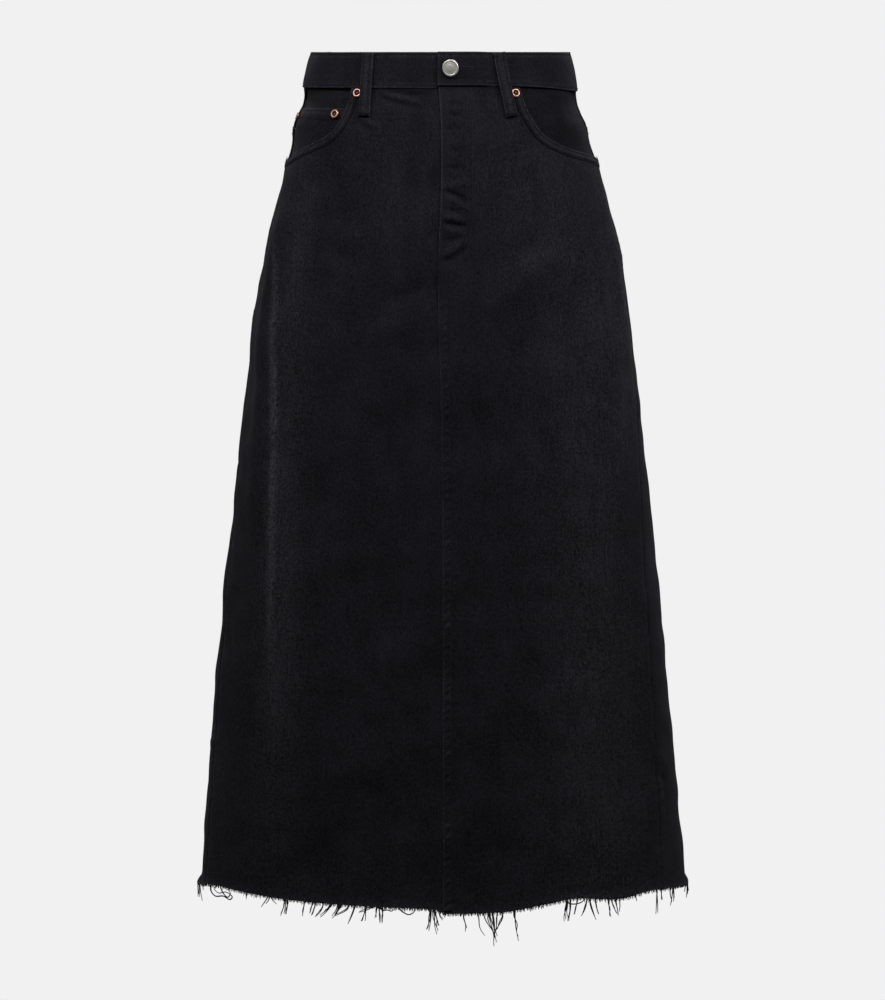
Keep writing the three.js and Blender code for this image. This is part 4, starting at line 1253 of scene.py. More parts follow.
@dataclass
class Waistband:
    """The waistband, which laps at the centre front, with its buttonhole and topstitching."""

    over_x: float = -4.9
    under_x: float = 32.0
    step_before: float = 356.7
    step_after: float = 357.1
    groove: float = 2.7
    hole_x: float = 8.2
    hole_z: float = 1.2
    hole_eye: float = 2.5
    hole_end: float = 29.0
    hole_slit: float = 0.4
    cut: Cut = Cut(0.81, 0.0395)

    def lift(self, angle: Array) -> Array:
        """How far the band's face stands off the form at an angle."""
        return BAND_PROUD + BAND_LAP * (1 - smooth((angle - 19) / 9.5))

    def foot(self, angle: Array) -> Array:
        """The band's lower edge."""
        on_right = (angle > 180) & (angle <= self.step_before)
        return np.where(on_right, FORM.under_seam(angle), FORM.over_seam(wrap(angle)))

    def build(self, finishes: Finishes) -> list[Piece]:
        """Makes the band and its thread.

        Args:
            finishes: the skirt's finishes.

        Returns:
            The pieces.
        """
        start = FORM.place_at(self.over_x, 0)[0]
        end = 360 + FORM.place_at(self.under_x, 0)[0]
        angles = np.concatenate(
            [
                start + np.array([0, 0.12, 0.35]),
                np.linspace(start + 0.7, self.step_before, 330),
                np.linspace(self.step_after, end - 0.7, 16),
                end - np.array([0.35, 0.12, 0]),
            ]
        )
        drops = edged(13, (0.006, 0.018, 0.036, 0.055, 0.07, 0.085, 0.11, 0.14))
        z = mix(BAND_TOP, self.foot(angles), drops[:, None])
        band = Patch(angles[None, :], z, has_relief=False)
        near = np.minimum(band.from_top, band.to_foot)
        wave = uneven(band.from_start, 0.6) * bell(near - self.groove, 3.2) * 0.16
        puff = 0.3 * smooth((near - self.groove) / 7) + FORM.ripples.at(band.face * 1.7) * 0.25
        lift = self.lift(angles) - 0.4 * bell(near - self.groove, 0.8) + wave + puff
        walls = band.walls(lift, BAND_WALL, round_over=1.3, tuck=0.42)
        wear_and_shade = 0.5 * bell(near - 0.4, 0.9) + 0.14 * bell(near - self.groove - 1.8, 1.2)
        wear_and_shade = wear_and_shade + 0.35 * bell(band.from_start, 1.2)
        cloth = make_cloth("waistband_cloth", walls, wear_and_shade, finishes.cloth)
        self._cut_hole(cloth, finishes)
        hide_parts("waistband")
        return [cloth, self._sew(angles, finishes)]

    def _outline(self, grow: float) -> Array:
        """The keyhole's outline as (x, z), grown outwards.

        Args:
            grow: how far outside the cut the outline runs.

        Returns:
            The outline's points.
        """
        half, eye = self.hole_slit + grow, self.hole_eye + grow
        opened = math.asin(half / eye)
        turns = np.linspace(opened, 2 * math.pi - opened, 22)
        round_eye = np.stack([self.hole_x + eye * np.cos(turns), self.hole_z + eye * np.sin(turns)], axis=-1)
        along = np.linspace(self.hole_x + eye * math.cos(opened), self.hole_end + grow, 16)
        upper = np.stack([along[::-1], np.full(16, self.hole_z + half)], axis=-1)
        lower = np.stack([along, np.full(16, self.hole_z - half)], axis=-1)
        return np.vstack([upper[:-1], round_eye, lower[1:]])

    def _cut_hole(self, cloth: Piece, finishes: Finishes) -> None:
        """Cuts the buttonhole through the band's outer end.

        Args:
            cloth: the band.
            finishes: the skirt's finishes.
        """
        x, z = self._outline(0).T
        angle = FORM.angle_at(x, z)
        face, normal = FORM.surface(angle, z, has_relief=False)
        rings = [face + normal * lift for lift in (BAND_PROUD + 0.35, BAND_PROUD + 3 * BAND_LAP)]
        count = len(x)
        near, far = np.arange(count), np.arange(count) + count
        sides = quads(near, far, np.roll(far, -1), np.roll(near, -1)).tolist()
        faces = [*sides, near.tolist(), far[::-1].tolist()]
        cutter = make_piece("hole_cutter", np.concatenate(rings), faces, np.zeros(2 * count), [finishes.denim])
        cutter.parent = None
        modifier = cloth.modifiers.new("buttonhole", "BOOLEAN")
        modifier.object = cutter
        modifier.operation = "DIFFERENCE"
        modifier.solver = "EXACT"
        bpy.context.view_layer.update()
        carved = bpy.data.meshes.new_from_object(cloth.evaluated_get(bpy.context.evaluated_depsgraph_get()))
        cloth.modifiers.clear()
        cloth.data = carved
        bpy.data.objects.remove(cutter)

    def _sew(self, angles: Array, finishes: Finishes) -> Piece:
        """Sews the band's two rows, its end and the buttonhole.

        Args:
            angles: the angles of the band's columns.
            finishes: the skirt's finishes.

        Returns:
            The thread.
        """
        thread = Needlework("waistband_thread")
        main = angles[3:-19]
        lift = self.lift(main) - 0.2
        top = np.stack([main, np.full(main.shape, BAND_TOP)], axis=-1)
        foot = np.stack([main, self.foot(main)], axis=-1)
        thread.row(top, -self.groove, lift, has_relief=False)
        thread.row(foot, self.groove, lift, has_relief=False)
        end = np.stack([np.full(12, angles[0]), np.linspace(BAND_TOP - 3, self.foot(angles[:1])[0] + 3, 12)], axis=-1)
        thread.row(end, self.groove, BAND_PROUD + BAND_LAP - 0.1, has_relief=False)
        self._sew_hole(thread)
        return thread.build(finishes.thread)

    def _sew_hole(self, thread: Needlework) -> None:
        """Sews the close stitches round the buttonhole.

        Args:
            thread: the band's thread.
        """
        rings = []
        for grow in (0.1, 1.7):
            line = self._outline(grow)
            run = np.concatenate([[0], np.cumsum(np.hypot(*np.diff(line, axis=0).T))])
            marks = np.linspace(0, run[-1], 128)
            x, z = (np.interp(marks, run, line[:, i]) for i in (0, 1))
            face, normal = FORM.surface(FORM.angle_at(x, z), z, has_relief=False)
            rings.append(face + normal * (BAND_PROUD + BAND_LAP + 0.4))
        thread.lay(rings[0], rings[1], normal, 0.3)


class Side(Enum):
    """The wearer's sides, with the sign of their angles."""

    RIGHT = -1
    LEFT = 1


@dataclass
class FrontPanel:
    """One of the two front panels, with its scooped pocket opening."""

    side: Side
    cut: Cut
    rise: float = 0.75

    def scoop(self, angle: Array) -> Array:
        """The panel's top edge: the band's seam, and past the corner the scoop down to the side seam.

        Args:
            angle: angles along the edge.

        Returns:
            The edge's heights.
        """
        if self.side is Side.RIGHT:
            return np.where(angle < OPENINGS[0][1], FORM.scoop_right(angle), FORM.under_seam(angle) - SEAM_GAP)
        return np.where(angle > OPENINGS[0][2], FORM.scoop_left(angle), FORM.over_seam(angle) - SEAM_GAP)

    def span(self) -> Span:
        """The panel's bounds."""
        if self.side is Side.RIGHT:
            return Span(beside(FORM.side_right, SEAM_GAP / 2), FORM.underlap, self.scoop, raw_edge)
        return Span(beside(FORM.centre, SEAM_GAP / 2), beside(FORM.side_left, -SEAM_GAP / 2), self.scoop, raw_edge)

    def lift(self, angle: Array, z: Array) -> Array:
        """How far the panel stands off the form."""
        return FORM.fly_lift(angle, z) if self.side is Side.LEFT else 0 * angle

    def build(self, finishes: Finishes) -> list[Piece]:
        """Makes the panel, its pocket edge and its thread.

        Args:
            finishes: the skirt's finishes.

        Returns:
            The pieces.
        """
        word = self.side.name.lower()
        drops = [[0, 0.006, 0.02, 0.04], np.linspace(0.06, 1, 46), np.linspace(1, 1.22, 94)[1:]]
        drops = np.concatenate([*drops, np.linspace(1.22, 2, 166)[1:-1], [1.997, 1.9988, 2]])
        shares = edged(74, (0.0016, 0.005, 0.011, 0.019, 0.029))
        shares = shares**1.2 if self.side is Side.LEFT else shares
        patch = self.span().patch(shares, drops, knee=level(KNEE), along_top=True)
        lift = self.lift(patch.angle, patch.z)
        sunk = patch.from_start if self.side is Side.RIGHT else patch.to_end
        lift = lift - 0.55 * bell(sunk, 2.4) * smooth((KNEE - patch.z) / 20)
        # painted shadow: the cloth is darkened just under the waistband
        wear_and_shade = FORM.rubbed_and_shaded(patch.face) + 0.3 * bell(patch.to_foot, 1.4) - 0.22 * bell(patch.from_top, 2.2)
        if self.side is Side.LEFT:
            wear_and_shade = wear_and_shade + 0.42 * bell(patch.from_start - 0.4, 1.1) * smooth((patch.z + 208) / 60)
        cloth = make_cloth(f"front_{word}_cloth", patch.walls(lift, DENIM), wear_and_shade, finishes.cloth)
        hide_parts(f"front_{word}")
        edge = self._pocket_edge(finishes)
        return [cloth, edge, self._sew(finishes)]

    def _scoop_path(self, spacing: float) -> Array:
        """The pocket opening's edge, from the band down to the side seam."""
        index = 1 if self.side is Side.RIGHT else 2
        return trace([(row[index], row[0] - SEAM_GAP) for row in OPENINGS], spacing)

    def _pocket_edge(self, finishes: Finishes) -> Piece:
        """The turned and topstitched edge of the pocket opening.

        Args:
            finishes: the skirt's finishes.

        Returns:
            The piece.
        """
        word = self.side.name.lower()
        steps = np.array([0, 0.25, 0.7, 1.3, 1.9, 2.5, 3.3, 4.4, 5.5, 6.4, 7.0, 7.6, 8.2, 8.9, 9.8])
        offsets = steps if self.side is Side.RIGHT else -steps[::-1]
        strip = ribbon(self._scoop_path(2.0), offsets)
        away = np.abs(offsets)[None, :]
        slope = 1 - smooth((away - 8.2) / 1.5)
        grooves = 0.45 * bell(away - 1.9, 0.6) + 0.5 * bell(away - 7.6, 0.7)
        ripple = 0.1 * uneven(strip.from_top, 5.0 + self.side.value) * bell(away - 4.5, 4)
        fly = self.lift(strip.angle, strip.z)
        lift = fly + 0.06 + (self.rise + 0.25 * bell(away - 4.6, 2.2) - grooves + ripple) * slope
        wear_and_shade = 0.6 * bell(away - 0.4, 0.9) + 0.24 * bell(away - 4.6, 1.8) + 0 * strip.z
        # painted shade in the inner row's groove and along the edge's foot
        wear_and_shade = wear_and_shade - 0.2 * bell(away - 1.9, 0.7) - 0.24 * bell(away - 8.4, 1.2)
        edge = make_cloth(f"pocket_edge_{word}", strip.walls(lift, 1.5, round_over=0.7), wear_and_shade, [finishes.denim])
        return edge

    def _sew(self, finishes: Finishes) -> Piece:
        """Sews the pocket edge, and on the lapped side the fly.

        Args:
            finishes: the skirt's finishes.

        Returns:
            The thread.
        """
        word = self.side.name.lower()
        thread = Needlework(f"front_{word}_thread")
        path = self._scoop_path(2.0)[1:]
        sign = 1 if self.side is Side.RIGHT else -1
        fly = self.lift(path[:, 0], path[:, 1])
        thread.row(path, sign * 1.9, fly + self.rise - 0.2)
        thread.row(path, sign * 7.6, fly + self.rise - 0.2)
        foot = path[-3:-1]
        thread.tack(foot, 7.0, self.rise + 0.3)
        if self.side is Side.LEFT:
            self._sew_fly(thread)
        return thread.build(finishes.thread)

    def _sew_fly(self, thread: Needlework) -> None:
        """Sews the fly's two curved rows, its edge and its tacks.

        Args:
            thread: the panel's thread.
        """
        for row in FLY_ROWS:
            path = trace([FORM.place_at(x, z) for x, z in row], 2.0)
            thread.row(path, 0.0, self.lift(*path.T) - 0.1)
        edge = trace([FORM.place_at(float(FORM.centre_x(z)) + 2.2, z) for z in FLY_EDGE], 2.0)
        thread.row(edge, 0.0, self.lift(*edge.T) - 0.1)
        for tack in FLY_TACKS:
            path = trace([FORM.place_at(x, z) for x, z in tack], 1.0)
            thread.tack(path, 2.2, float(self.lift(*path[1])) + 0.1)


@dataclass
class Facings:
    """What shows behind the pocket openings: a facing on each side, and the coin pocket on the right."""

    top: float = -11.0
    foot: float = -110.0
    coin_outer: float = -86.0
    coin_inner: float = -45.0
    coin_top: float = -38.0
    coin_foot: float = -93.0
    coin_wall: float = 1.2
    # painted shade that darkens the wearer's left facing
    left_facing_shade: float = -0.12

    def build(self, finishes: Finishes) -> list[Piece]:
        """Makes the facings and the coin pocket.

        Args:
            finishes: the skirt's finishes.

        Returns:
            The pieces.
        """
        looks = finishes.cloth
        pieces = []
        for side in Side:
            is_right = side is Side.RIGHT
            opening = FORM.opening_right if is_right else FORM.opening_left
            seam = FORM.side_right if is_right else FORM.side_left
            sign = side.value
            hidden: Line = lambda z, opening=opening, sign=sign: opening(z) - sign * 12
            outer: Line = lambda z, seam=seam, sign=sign: seam(z) + sign * 2.4
            ends = (outer, hidden) if is_right else (hidden, outer)
            span = Span(*ends, level(self.top), level(self.foot))
            patch = span.patch(edged(34, (0.003, 0.01)), np.linspace(0, 1, 36))
            lift = BEHIND_FRONT - (self.coin_wall + 0.65 if is_right else 0)
            word = side.name.lower()
            wear_and_shade = 0.0 if is_right else self.left_facing_shade
            piece = make_cloth(f"pocket_facing_{word}_cloth", patch.walls(lift, DENIM), wear_and_shade, looks)
            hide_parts(f"pocket_facing_{word}")
            pieces.append(piece)
        pieces.append(self._coin_pocket(looks))
        pieces.append(self._sew(finishes))
        return pieces

    def _coin_pocket(self, looks: Sequence[Look]) -> Piece:
        """The coin pocket, with its turned top edge.

        Args:
            looks: the outer and the inner face's material.

        Returns:
            The piece.
        """
        sides = level(self.coin_outer), level(self.coin_inner)
        span = Span(*sides, level(self.coin_top), level(self.coin_foot))
        drops = np.concatenate([[0, 0.006, 0.02, 0.04, 0.07, 0.1, 0.14, 0.18], np.linspace(0.22, 1, 18)])
        patch = span.patch(edged(26, (0.004, 0.012)), drops)
        turned = 1 - smooth((patch.from_top - 10.4) / 1.4)
        grooves = 0.25 * bell(patch.from_top - 2, 0.7) + 0.3 * bell(patch.from_top - 9.4, 0.8)
        lift = BEHIND_FRONT - 0.15 + (0.45 - grooves) * turned
        wear_and_shade = 0.45 * bell(patch.from_top, 1.1) + 0.16 * bell(patch.from_top - 5.5, 2)
        # painted shade under the turned top edge
        wear_and_shade = wear_and_shade - 0.2 * bell(patch.from_top - 10.2, 1.3)
        piece = make_cloth("coin_pocket_cloth", patch.walls(lift, self.coin_wall), wear_and_shade, looks)
        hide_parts("coin_pocket")
        return piece

    def _sew(self, finishes: Finishes) -> Piece:
        """Sews the coin pocket's two rows.

        Args:
            finishes: the skirt's finishes.

        Returns:
            The thread.
        """
        thread = Needlework("coin_pocket_thread")
        for down in (2.0, 9.4):
            path = np.stack([np.linspace(-84, -51, 30), np.full(30, self.coin_top - down)], axis=-1)
            thread.row(path, 0.0, BEHIND_FRONT + 0.1)
        return thread.build(finishes.thread)


@dataclass
class BackPanel:
    """One half of the back: the yoke, the panel below it and its patch pocket."""

    side: Side
    panel_cut: Cut
    yoke_cut: Cut
    pocket_angle: float = 147.0
    pocket_half: float = 66.0
    pocket_taper: float = 0.9
    pocket_top: float = -112.0
    pocket_corner: float = -238.0
    pocket_point: float = -254.0

    def _edges(self) -> tuple[Line, Line]:
        """The side edges as angles at a height."""
        if self.side is Side.LEFT:
            return beside(FORM.side_left, SEAM_GAP / 2), beside(level(180), -SEAM_GAP / 2)
        return beside(level(-180), SEAM_GAP / 2), beside(FORM.side_right, -SEAM_GAP / 2)

    @staticmethod
    def _yoke(angle: Array) -> Array:
        """The yoke's lower edge."""
        return FORM.yoke_line(np.abs(wrap(angle)))

    def build(self, finishes: Finishes) -> list[Piece]:
        """Makes the yoke, the panel, the pocket and their thread.

        Args:
            finishes: the skirt's finishes.

        Returns:
            The pieces.
        """
        pieces = [self._make_yoke(finishes), self._make_panel(finishes), self._make_pocket(finishes)]
        return [*pieces, self._sew(finishes)]

    def _seamed(self, patch: Patch) -> tuple[Array, Array]:
        """Distances from the side seam and from the centre back."""
        both = (patch.from_start, patch.to_end)
        return both if self.side is Side.LEFT else both[::-1]

    def _make_yoke(self, finishes: Finishes) -> Piece:
        """The yoke.

        Args:
            finishes: the skirt's finishes.

        Returns:
            The piece.
        """

        def top(angle: Array) -> Array:
            """The band's seam."""
            return FORM.band_line(wrap(angle)) - SEAM_GAP

        span = Span(*self._edges(), top, self._yoke)
        patch = span.patch(edged(54, (0.002, 0.007, 0.016)), edged(22, (0.008, 0.03)))
        at_side, at_centre = self._seamed(patch)
        lift = -0.5 * bell(at_side, 2.2) + 0.55 * (1 - smooth((at_centre - 8) / 2.5))
        wear_and_shade = 0.18 * bell(at_centre - 1, 1.4)
        word = self.side.name.lower()
        piece = make_cloth(f"yoke_{word}_cloth", patch.walls(lift, DENIM), wear_and_shade, finishes.cloth)
        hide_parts(f"yoke_{word}")
        return piece

    def _make_panel(self, finishes: Finishes) -> Piece:
        """The panel below the yoke.

        Args:
            finishes: the skirt's finishes.

        Returns:
            The piece.
        """

        def top(angle: Array) -> Array:
            """The yoke's seam."""
            return self._yoke(angle) - SEAM_GAP

        drops = np.concatenate([[0, 0.03, 0.1], np.linspace(0.2, 1, 9), np.linspace(1, 2, 205)[1:-1]])
        drops = np.concatenate([drops, [1.997, 1.9988, 2]])
        patch = Span(*self._edges(), top, raw_edge).patch(
            edged(64, (0.0016, 0.005, 0.011, 0.019, 0.029)), drops, knee=level(KNEE)
        )
        at_side, at_centre = self._seamed(patch)
        felled = 0.7 * (1 - smooth((at_centre - 8) / 2.5)) - 0.25 * bell(at_centre - 2, 0.8)
        yoke = 0.75 * (1 - smooth((patch.from_top - 8) / 2.5)) - 0.25 * bell(patch.from_top - 2, 0.8)
        lift = np.maximum(felled, yoke) * smooth(at_side / 9) - 0.55 * bell(at_side, 2.4)
        wear_and_shade = FORM.rubbed_and_shaded(patch.face) + 0.3 * bell(patch.to_foot, 1.4) + 0.2 * bell(at_centre, 1.3)
        wear_and_shade = wear_and_shade + 0.24 * bell(patch.from_top, 1.3) * smooth(at_side / 9)
        word = self.side.name.lower()
        piece = make_cloth(f"back_{word}_cloth", patch.walls(lift, DENIM), wear_and_shade, finishes.cloth)
        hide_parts(f"back_{word}")
        return piece

    def _pocket_places(self, across: Array, down: Array) -> tuple[Array, Array]:
        """The angle and height of places of the pocket.

        Args:
            across: from -1 at one edge to 1 at the other.
            down: from 0 at the top to 1 at the foot.

        Returns:
            Their angles and heights.
        """
        foot = mix(self.pocket_corner, self.pocket_point, 1 - np.abs(across))
        z = mix(self.pocket_top, foot, down)
        middle = self.side.value * self.pocket_angle
        radius = np.linalg.norm(FORM.point(np.full(z.shape, middle), z)[..., :2], axis=-1)
        half = np.degrees(self.pocket_half * mix(1, self.pocket_taper, down) / radius)
        return middle + across * half, z

    def _make_pocket(self, finishes: Finishes) -> Piece:
        """The patch pocket, with its turned top edge.

        Args:
            finishes: the skirt's finishes.

        Returns:
            The piece.
        """
        across = 2 * edged(34, (0.002, 0.008, 0.016, 0.026, 0.04, 0.055, 0.07)) - 1
        down = edged(34, (0.003, 0.01, 0.02, 0.035, 0.055, 0.075, 0.1))
        patch = Patch(*self._pocket_places(across[None, :], down[:, None]))
        sewn = np.minimum.reduce([patch.from_start, patch.to_end, patch.to_foot])
        turned = 1 - smooth((patch.from_top - 22) / 2)
        puff = 0.8 * smooth((sewn - 8) / 22) * smooth(patch.to_foot / 40)
        grooves = bell(sewn - 2, 0.7) + bell(sewn - 7.6, 0.8) + turned * bell(patch.from_top - 20, 0.8)
        lift = 0.4 + DENIM + puff + 0.35 * turned + 0.25 * (1 - smooth((sewn - 8) / 3)) - 0.3 * grooves
        wear_and_shade = 0.34 * bell(np.minimum(sewn, patch.from_top), 1.3) + 0.1 * bell(sewn - 4.5, 2)
        word = self.side.name.lower()
        piece = make_cloth(f"back_pocket_{word}_cloth", patch.walls(lift, DENIM), wear_and_shade, finishes.cloth)
        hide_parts(f"back_pocket_{word}")
        return piece

    def _sew(self, finishes: Finishes) -> Piece:
        """Sews the yoke, the pocket and, on the left, the centre back.

        Args:
            finishes: the skirt's finishes.

        Returns:
            The thread.
        """
        word = self.side.name.lower()
        thread = Needlework(f"back_{word}_thread")
        sign = self.side.value
        angles = sign * np.linspace(91, 179, 90)
        yoke = np.stack([angles, self._yoke(angles)], axis=-1)
        for down in (2.0, 8.0):
            thread.row(yoke, -sign * down, 0.5)
        self._sew_pocket(thread)
        middle = np.stack([np.full(320, sign * 180.0), np.linspace(-22, -846, 320)], axis=-1)
        if self.side is Side.LEFT:
            for aside in (2.0, 8.0):
                thread.row(middle, -aside, 0.5)
        return thread.build(finishes.thread)

    def _sew_pocket(self, thread: Needlework) -> None:
        """Sews the pocket's double edge, its turned top and its tacks.

        Args:
            thread: the panel's thread.
        """
        for inset in (2.0, 7.6):
            share, drop = 1 - inset / self.pocket_half, 1 - inset / 130
            corners = ((-share, 0.012), (-share, drop), (0.0, drop - 0.006), (share, drop), (share, 0.012))
            for (a, b), (c, d) in zip(corners, corners[1:]):
                line = np.linspace((a, b), (c, d), 60)
                path = np.stack(self._pocket_places(line[:, 0], line[:, 1]), axis=-1)
                thread.row(path, 0.0, 0.5 + DENIM)
        line = np.linspace((-0.95, 20 / 134), (0.95, 20 / 134), 60)
        thread.row(np.stack(self._pocket_places(line[:, 0], line[:, 1]), axis=-1), 0.0, 0.75 + DENIM)
        for edge in (-0.94, 0.94):
            ends = np.array([(edge, 0.008), (edge, 0.075)])
            path = np.stack(self._pocket_places(ends[:, 0], ends[:, 1]), axis=-1)
            thread.tack(path, 3.0, 0.8 + DENIM)


@dataclass
class FelledSeam:
    """The centre front seam below the fly: one edge laid flat over the other and sewn down."""

    width: float = 9.0
    top: float = -199.0
    foot: float = -855.0
    rise: float = 0.5

    def build(self, finishes: Finishes) -> list[Piece]:
        """Makes the seam and its thread.

        Args:
            finishes: the skirt's finishes.

        Returns:
            The pieces.
        """
        heights = np.linspace(self.top, self.foot, 420)
        path = np.stack([FORM.centre(heights), heights], axis=-1)
        offsets = np.array([-0.5, -0.25, 0.2, 0.8, 1.6, 2.4, 3.4, 4.4, 5.4, 6.4, 7.1, 7.8, 8.5, 9.0])
        strip = ribbon(path, offsets)
        away = offsets[None, :]
        rope = uneven(strip.from_top + away * 0.9, 8.2) * bell(away - 4.6, 3.4)
        grooves = 0.2 * bell(away - 1.6, 0.6) + 0.2 * bell(away - 7.6, 0.6)
        begin = smooth((self.top - 2 - strip.z) / 24)
        slope = 1 - 0.7 * smooth((away - 7.6) / 1.4)
        lift = FORM.fly_lift(strip.angle, strip.z) + 0.1 + (self.rise - grooves + 0.5 * rope) * begin * slope
        wear_and_shade = (0.26 * bell(away + 0.1, 0.8) + 0.22 * np.clip(rope, 0, 1)) * begin
        seam = make_cloth("centre_front_seam", strip.walls(lift, 1.0, round_over=0.6), wear_and_shade, [finishes.denim])
        thread = Needlework("centre_front_thread")
        lap = FORM.fly_lift(*path.T)
        for aside in (1.6, 7.6):
            thread.row(path[4:], aside, lap[4:] + self.rise - 0.12)
        return [seam, thread.build(finishes.thread)]


@dataclass
class SeamStrips:
    """The seam allowances, pressed flat behind the seams that part two panels."""

    half: float = 10.0
    depth: float = 0.85
    thickness: float = 1.0

    def build(self, finishes: Finishes) -> list[Piece]:
        """Makes the strips.

        Args:
            finishes: the skirt's finishes.

        Returns:
            The pieces.
        """
        low = np.linspace(-113, -845, 240)
        front = np.linspace(-252, -848, 200)
        yoke = np.linspace(92.6, 174, 60)
        waist = np.linspace(94, 266, 120)
        middle = np.linspace(-35.3, 29.1, 60)
        paths = {
            "side_right": (FORM.side_right(low), low),
            "side_left": (FORM.side_left(low), low),
            "centre_front": (FORM.centre(front), front),
            "centre_back": (np.full(260, 180.0), np.linspace(-31.5, -845, 260)),
            "waist_back": (waist, FORM.band_line(wrap(waist))),
            "waist_front": (middle, FORM.band_line(middle)),
            "yoke_left": (yoke, FORM.yoke_line(yoke)),
            "yoke_right": (-yoke, FORM.yoke_line(yoke)),
        }
        return [self._strip(name, np.stack(path, axis=-1), finishes) for name, path in paths.items()]

    def _strip(self, name: str, path: Array, finishes: Finishes) -> Piece:
        """Makes one strip.

        Args:
            name: the seam that it belongs to.
            path: the seam's (angle, z) places.
            finishes: the skirt's finishes.

        Returns:
            The piece.
        """
        offsets = np.linspace(-self.half, self.half, 9)
        strip = ribbon(path, offsets)
        wave = 0.35 * uneven(strip.from_top * 0.4, 2.7) * np.abs(offsets / self.half)
        lift = -DENIM - self.depth - 0.45 * np.abs(offsets / self.half) + wave - 0.35
        piece = make_cloth(f"allowance_{name}", strip.walls(lift, self.thickness), 0.0, [finishes.reverse])
        return piece


@dataclass(frozen=True)
class LoopPlace:
    """A belt loop's name, the angles of its middle at its top and foot, and where it ends."""

    name: str
    top: float
    foot: float
    end: float


@dataclass
class BeltLoops:
    """The five belt loops: strips folded under at both ends, sewn with two rows and barred at the ends."""

    width: float = 12.0
    top: float = 17.6
    wall: float = 1.8
    places: tuple[LoopPlace, ...] = (
        LoopPlace("belt_loop_front_right", -41.5, -39.1, -46.1),
        LoopPlace("belt_loop_front_left", 32.1, 34.9, -47.1),
        LoopPlace("belt_loop_back_right", -118, -118, -47),
        LoopPlace("belt_loop_back_left", 118, 118, -47),
        LoopPlace("belt_loop_centre_back", 180, 180, -47),
    )
    profile: tuple[tuple[float, float, float], ...] = (
        (0, 1.5, 3.0), (0.1, 1.5, 3.0), (0.17, 2.2, 1.9), (0.45, 3.0, 1.8), (0.72, 2.6, 1.8), (0.85, 1.1, 1.8),
        (0.91, 0.45, 2.9), (1, 0.45, 2.9),
    )

    def build(self, finishes: Finishes) -> list[Piece]:
        """Makes the loops and their thread.

        Args:
            finishes: the skirt's finishes.

        Returns:
            The pieces.
        """
        thread = Needlework("belt_loop_thread")
        pieces = [self._make(place, thread, finishes) for place in self.places]
        return [*pieces, thread.build(finishes.thread)]

    def _make(self, place: LoopPlace, thread: Needlework, finishes: Finishes) -> Piece:
        """Makes one loop, and adds its stitches to the thread.

        Args:
            place: the loop's name and place.
            thread: the loops' thread.
            finishes: the skirt's finishes.

        Returns:
            The piece.
        """
        share = edged(30, (0.004, 0.012, 0.024))
        path = np.stack([mix(place.top, place.foot, share), mix(self.top, place.end, share)], axis=-1)
        half = self.width / 2
        offsets = np.array([0, 0.3, 0.8, 1.5, 2.3, 3.2, 4.4, 5.4])
        offsets = np.concatenate([offsets - half, (half - offsets)[::-1]])
        strip = ribbon(path, offsets)
        inner, wall = column(self.profile, 0, 1)(share), column(self.profile, 0, 2)(share)
        away = half - np.abs(offsets)[None, :]
        crown = 0.35 * bell(away - 5.0, 2.2) - 0.3 * bell(away - 2.3, 0.7)
        bars = 0.35 * (bell(share - 0.06, 0.022) + bell(share - 0.945, 0.022))[:, None]
        outer = (inner + wall)[:, None] + crown - bars
        near = 1 - np.clip(strip.edge() / 1.0, 0, 1)
        give = 0.5 * (1 - np.sqrt(1 - near**2))
        walls = [strip.lifted(outer - give), strip.lifted(inner[:, None] + give)]
        wear_and_shade = 0.4 * bell(away, 1.0) + 0.2 * bell(away - 5, 1.6) + 0.35 * bell(strip.from_top, 1.2)
        # painted shade at the loop's lower end, under its fold
        wear_and_shade = wear_and_shade - 0.4 * bell(strip.to_foot - 1.6, 1.3)
        loop = make_cloth(place.name + "_cloth", walls, wear_and_shade, [finishes.denim])
        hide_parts(place.name)
        for aside in (-half + 2.3, half - 2.3):
            thread.row(path, aside, inner + wall - 0.15, pitch=2.9, radius=0.27)
        for at in (0.06, 0.945):
            middle = np.array([mix(place.top, place.foot, at), mix(self.top, place.end, at)])
            radius = float(np.linalg.norm(FORM.point(*middle)[:2]))
            reach = np.degrees((half - 0.7) / radius)
            ends = np.array([middle - [reach, 0], middle + [reach, 0]])
            thread.tack(ends, 2.0, float(inner[0] + wall[0] if at < 0.5 else inner[-1] + wall[-1]) - 0.25)
        return loop


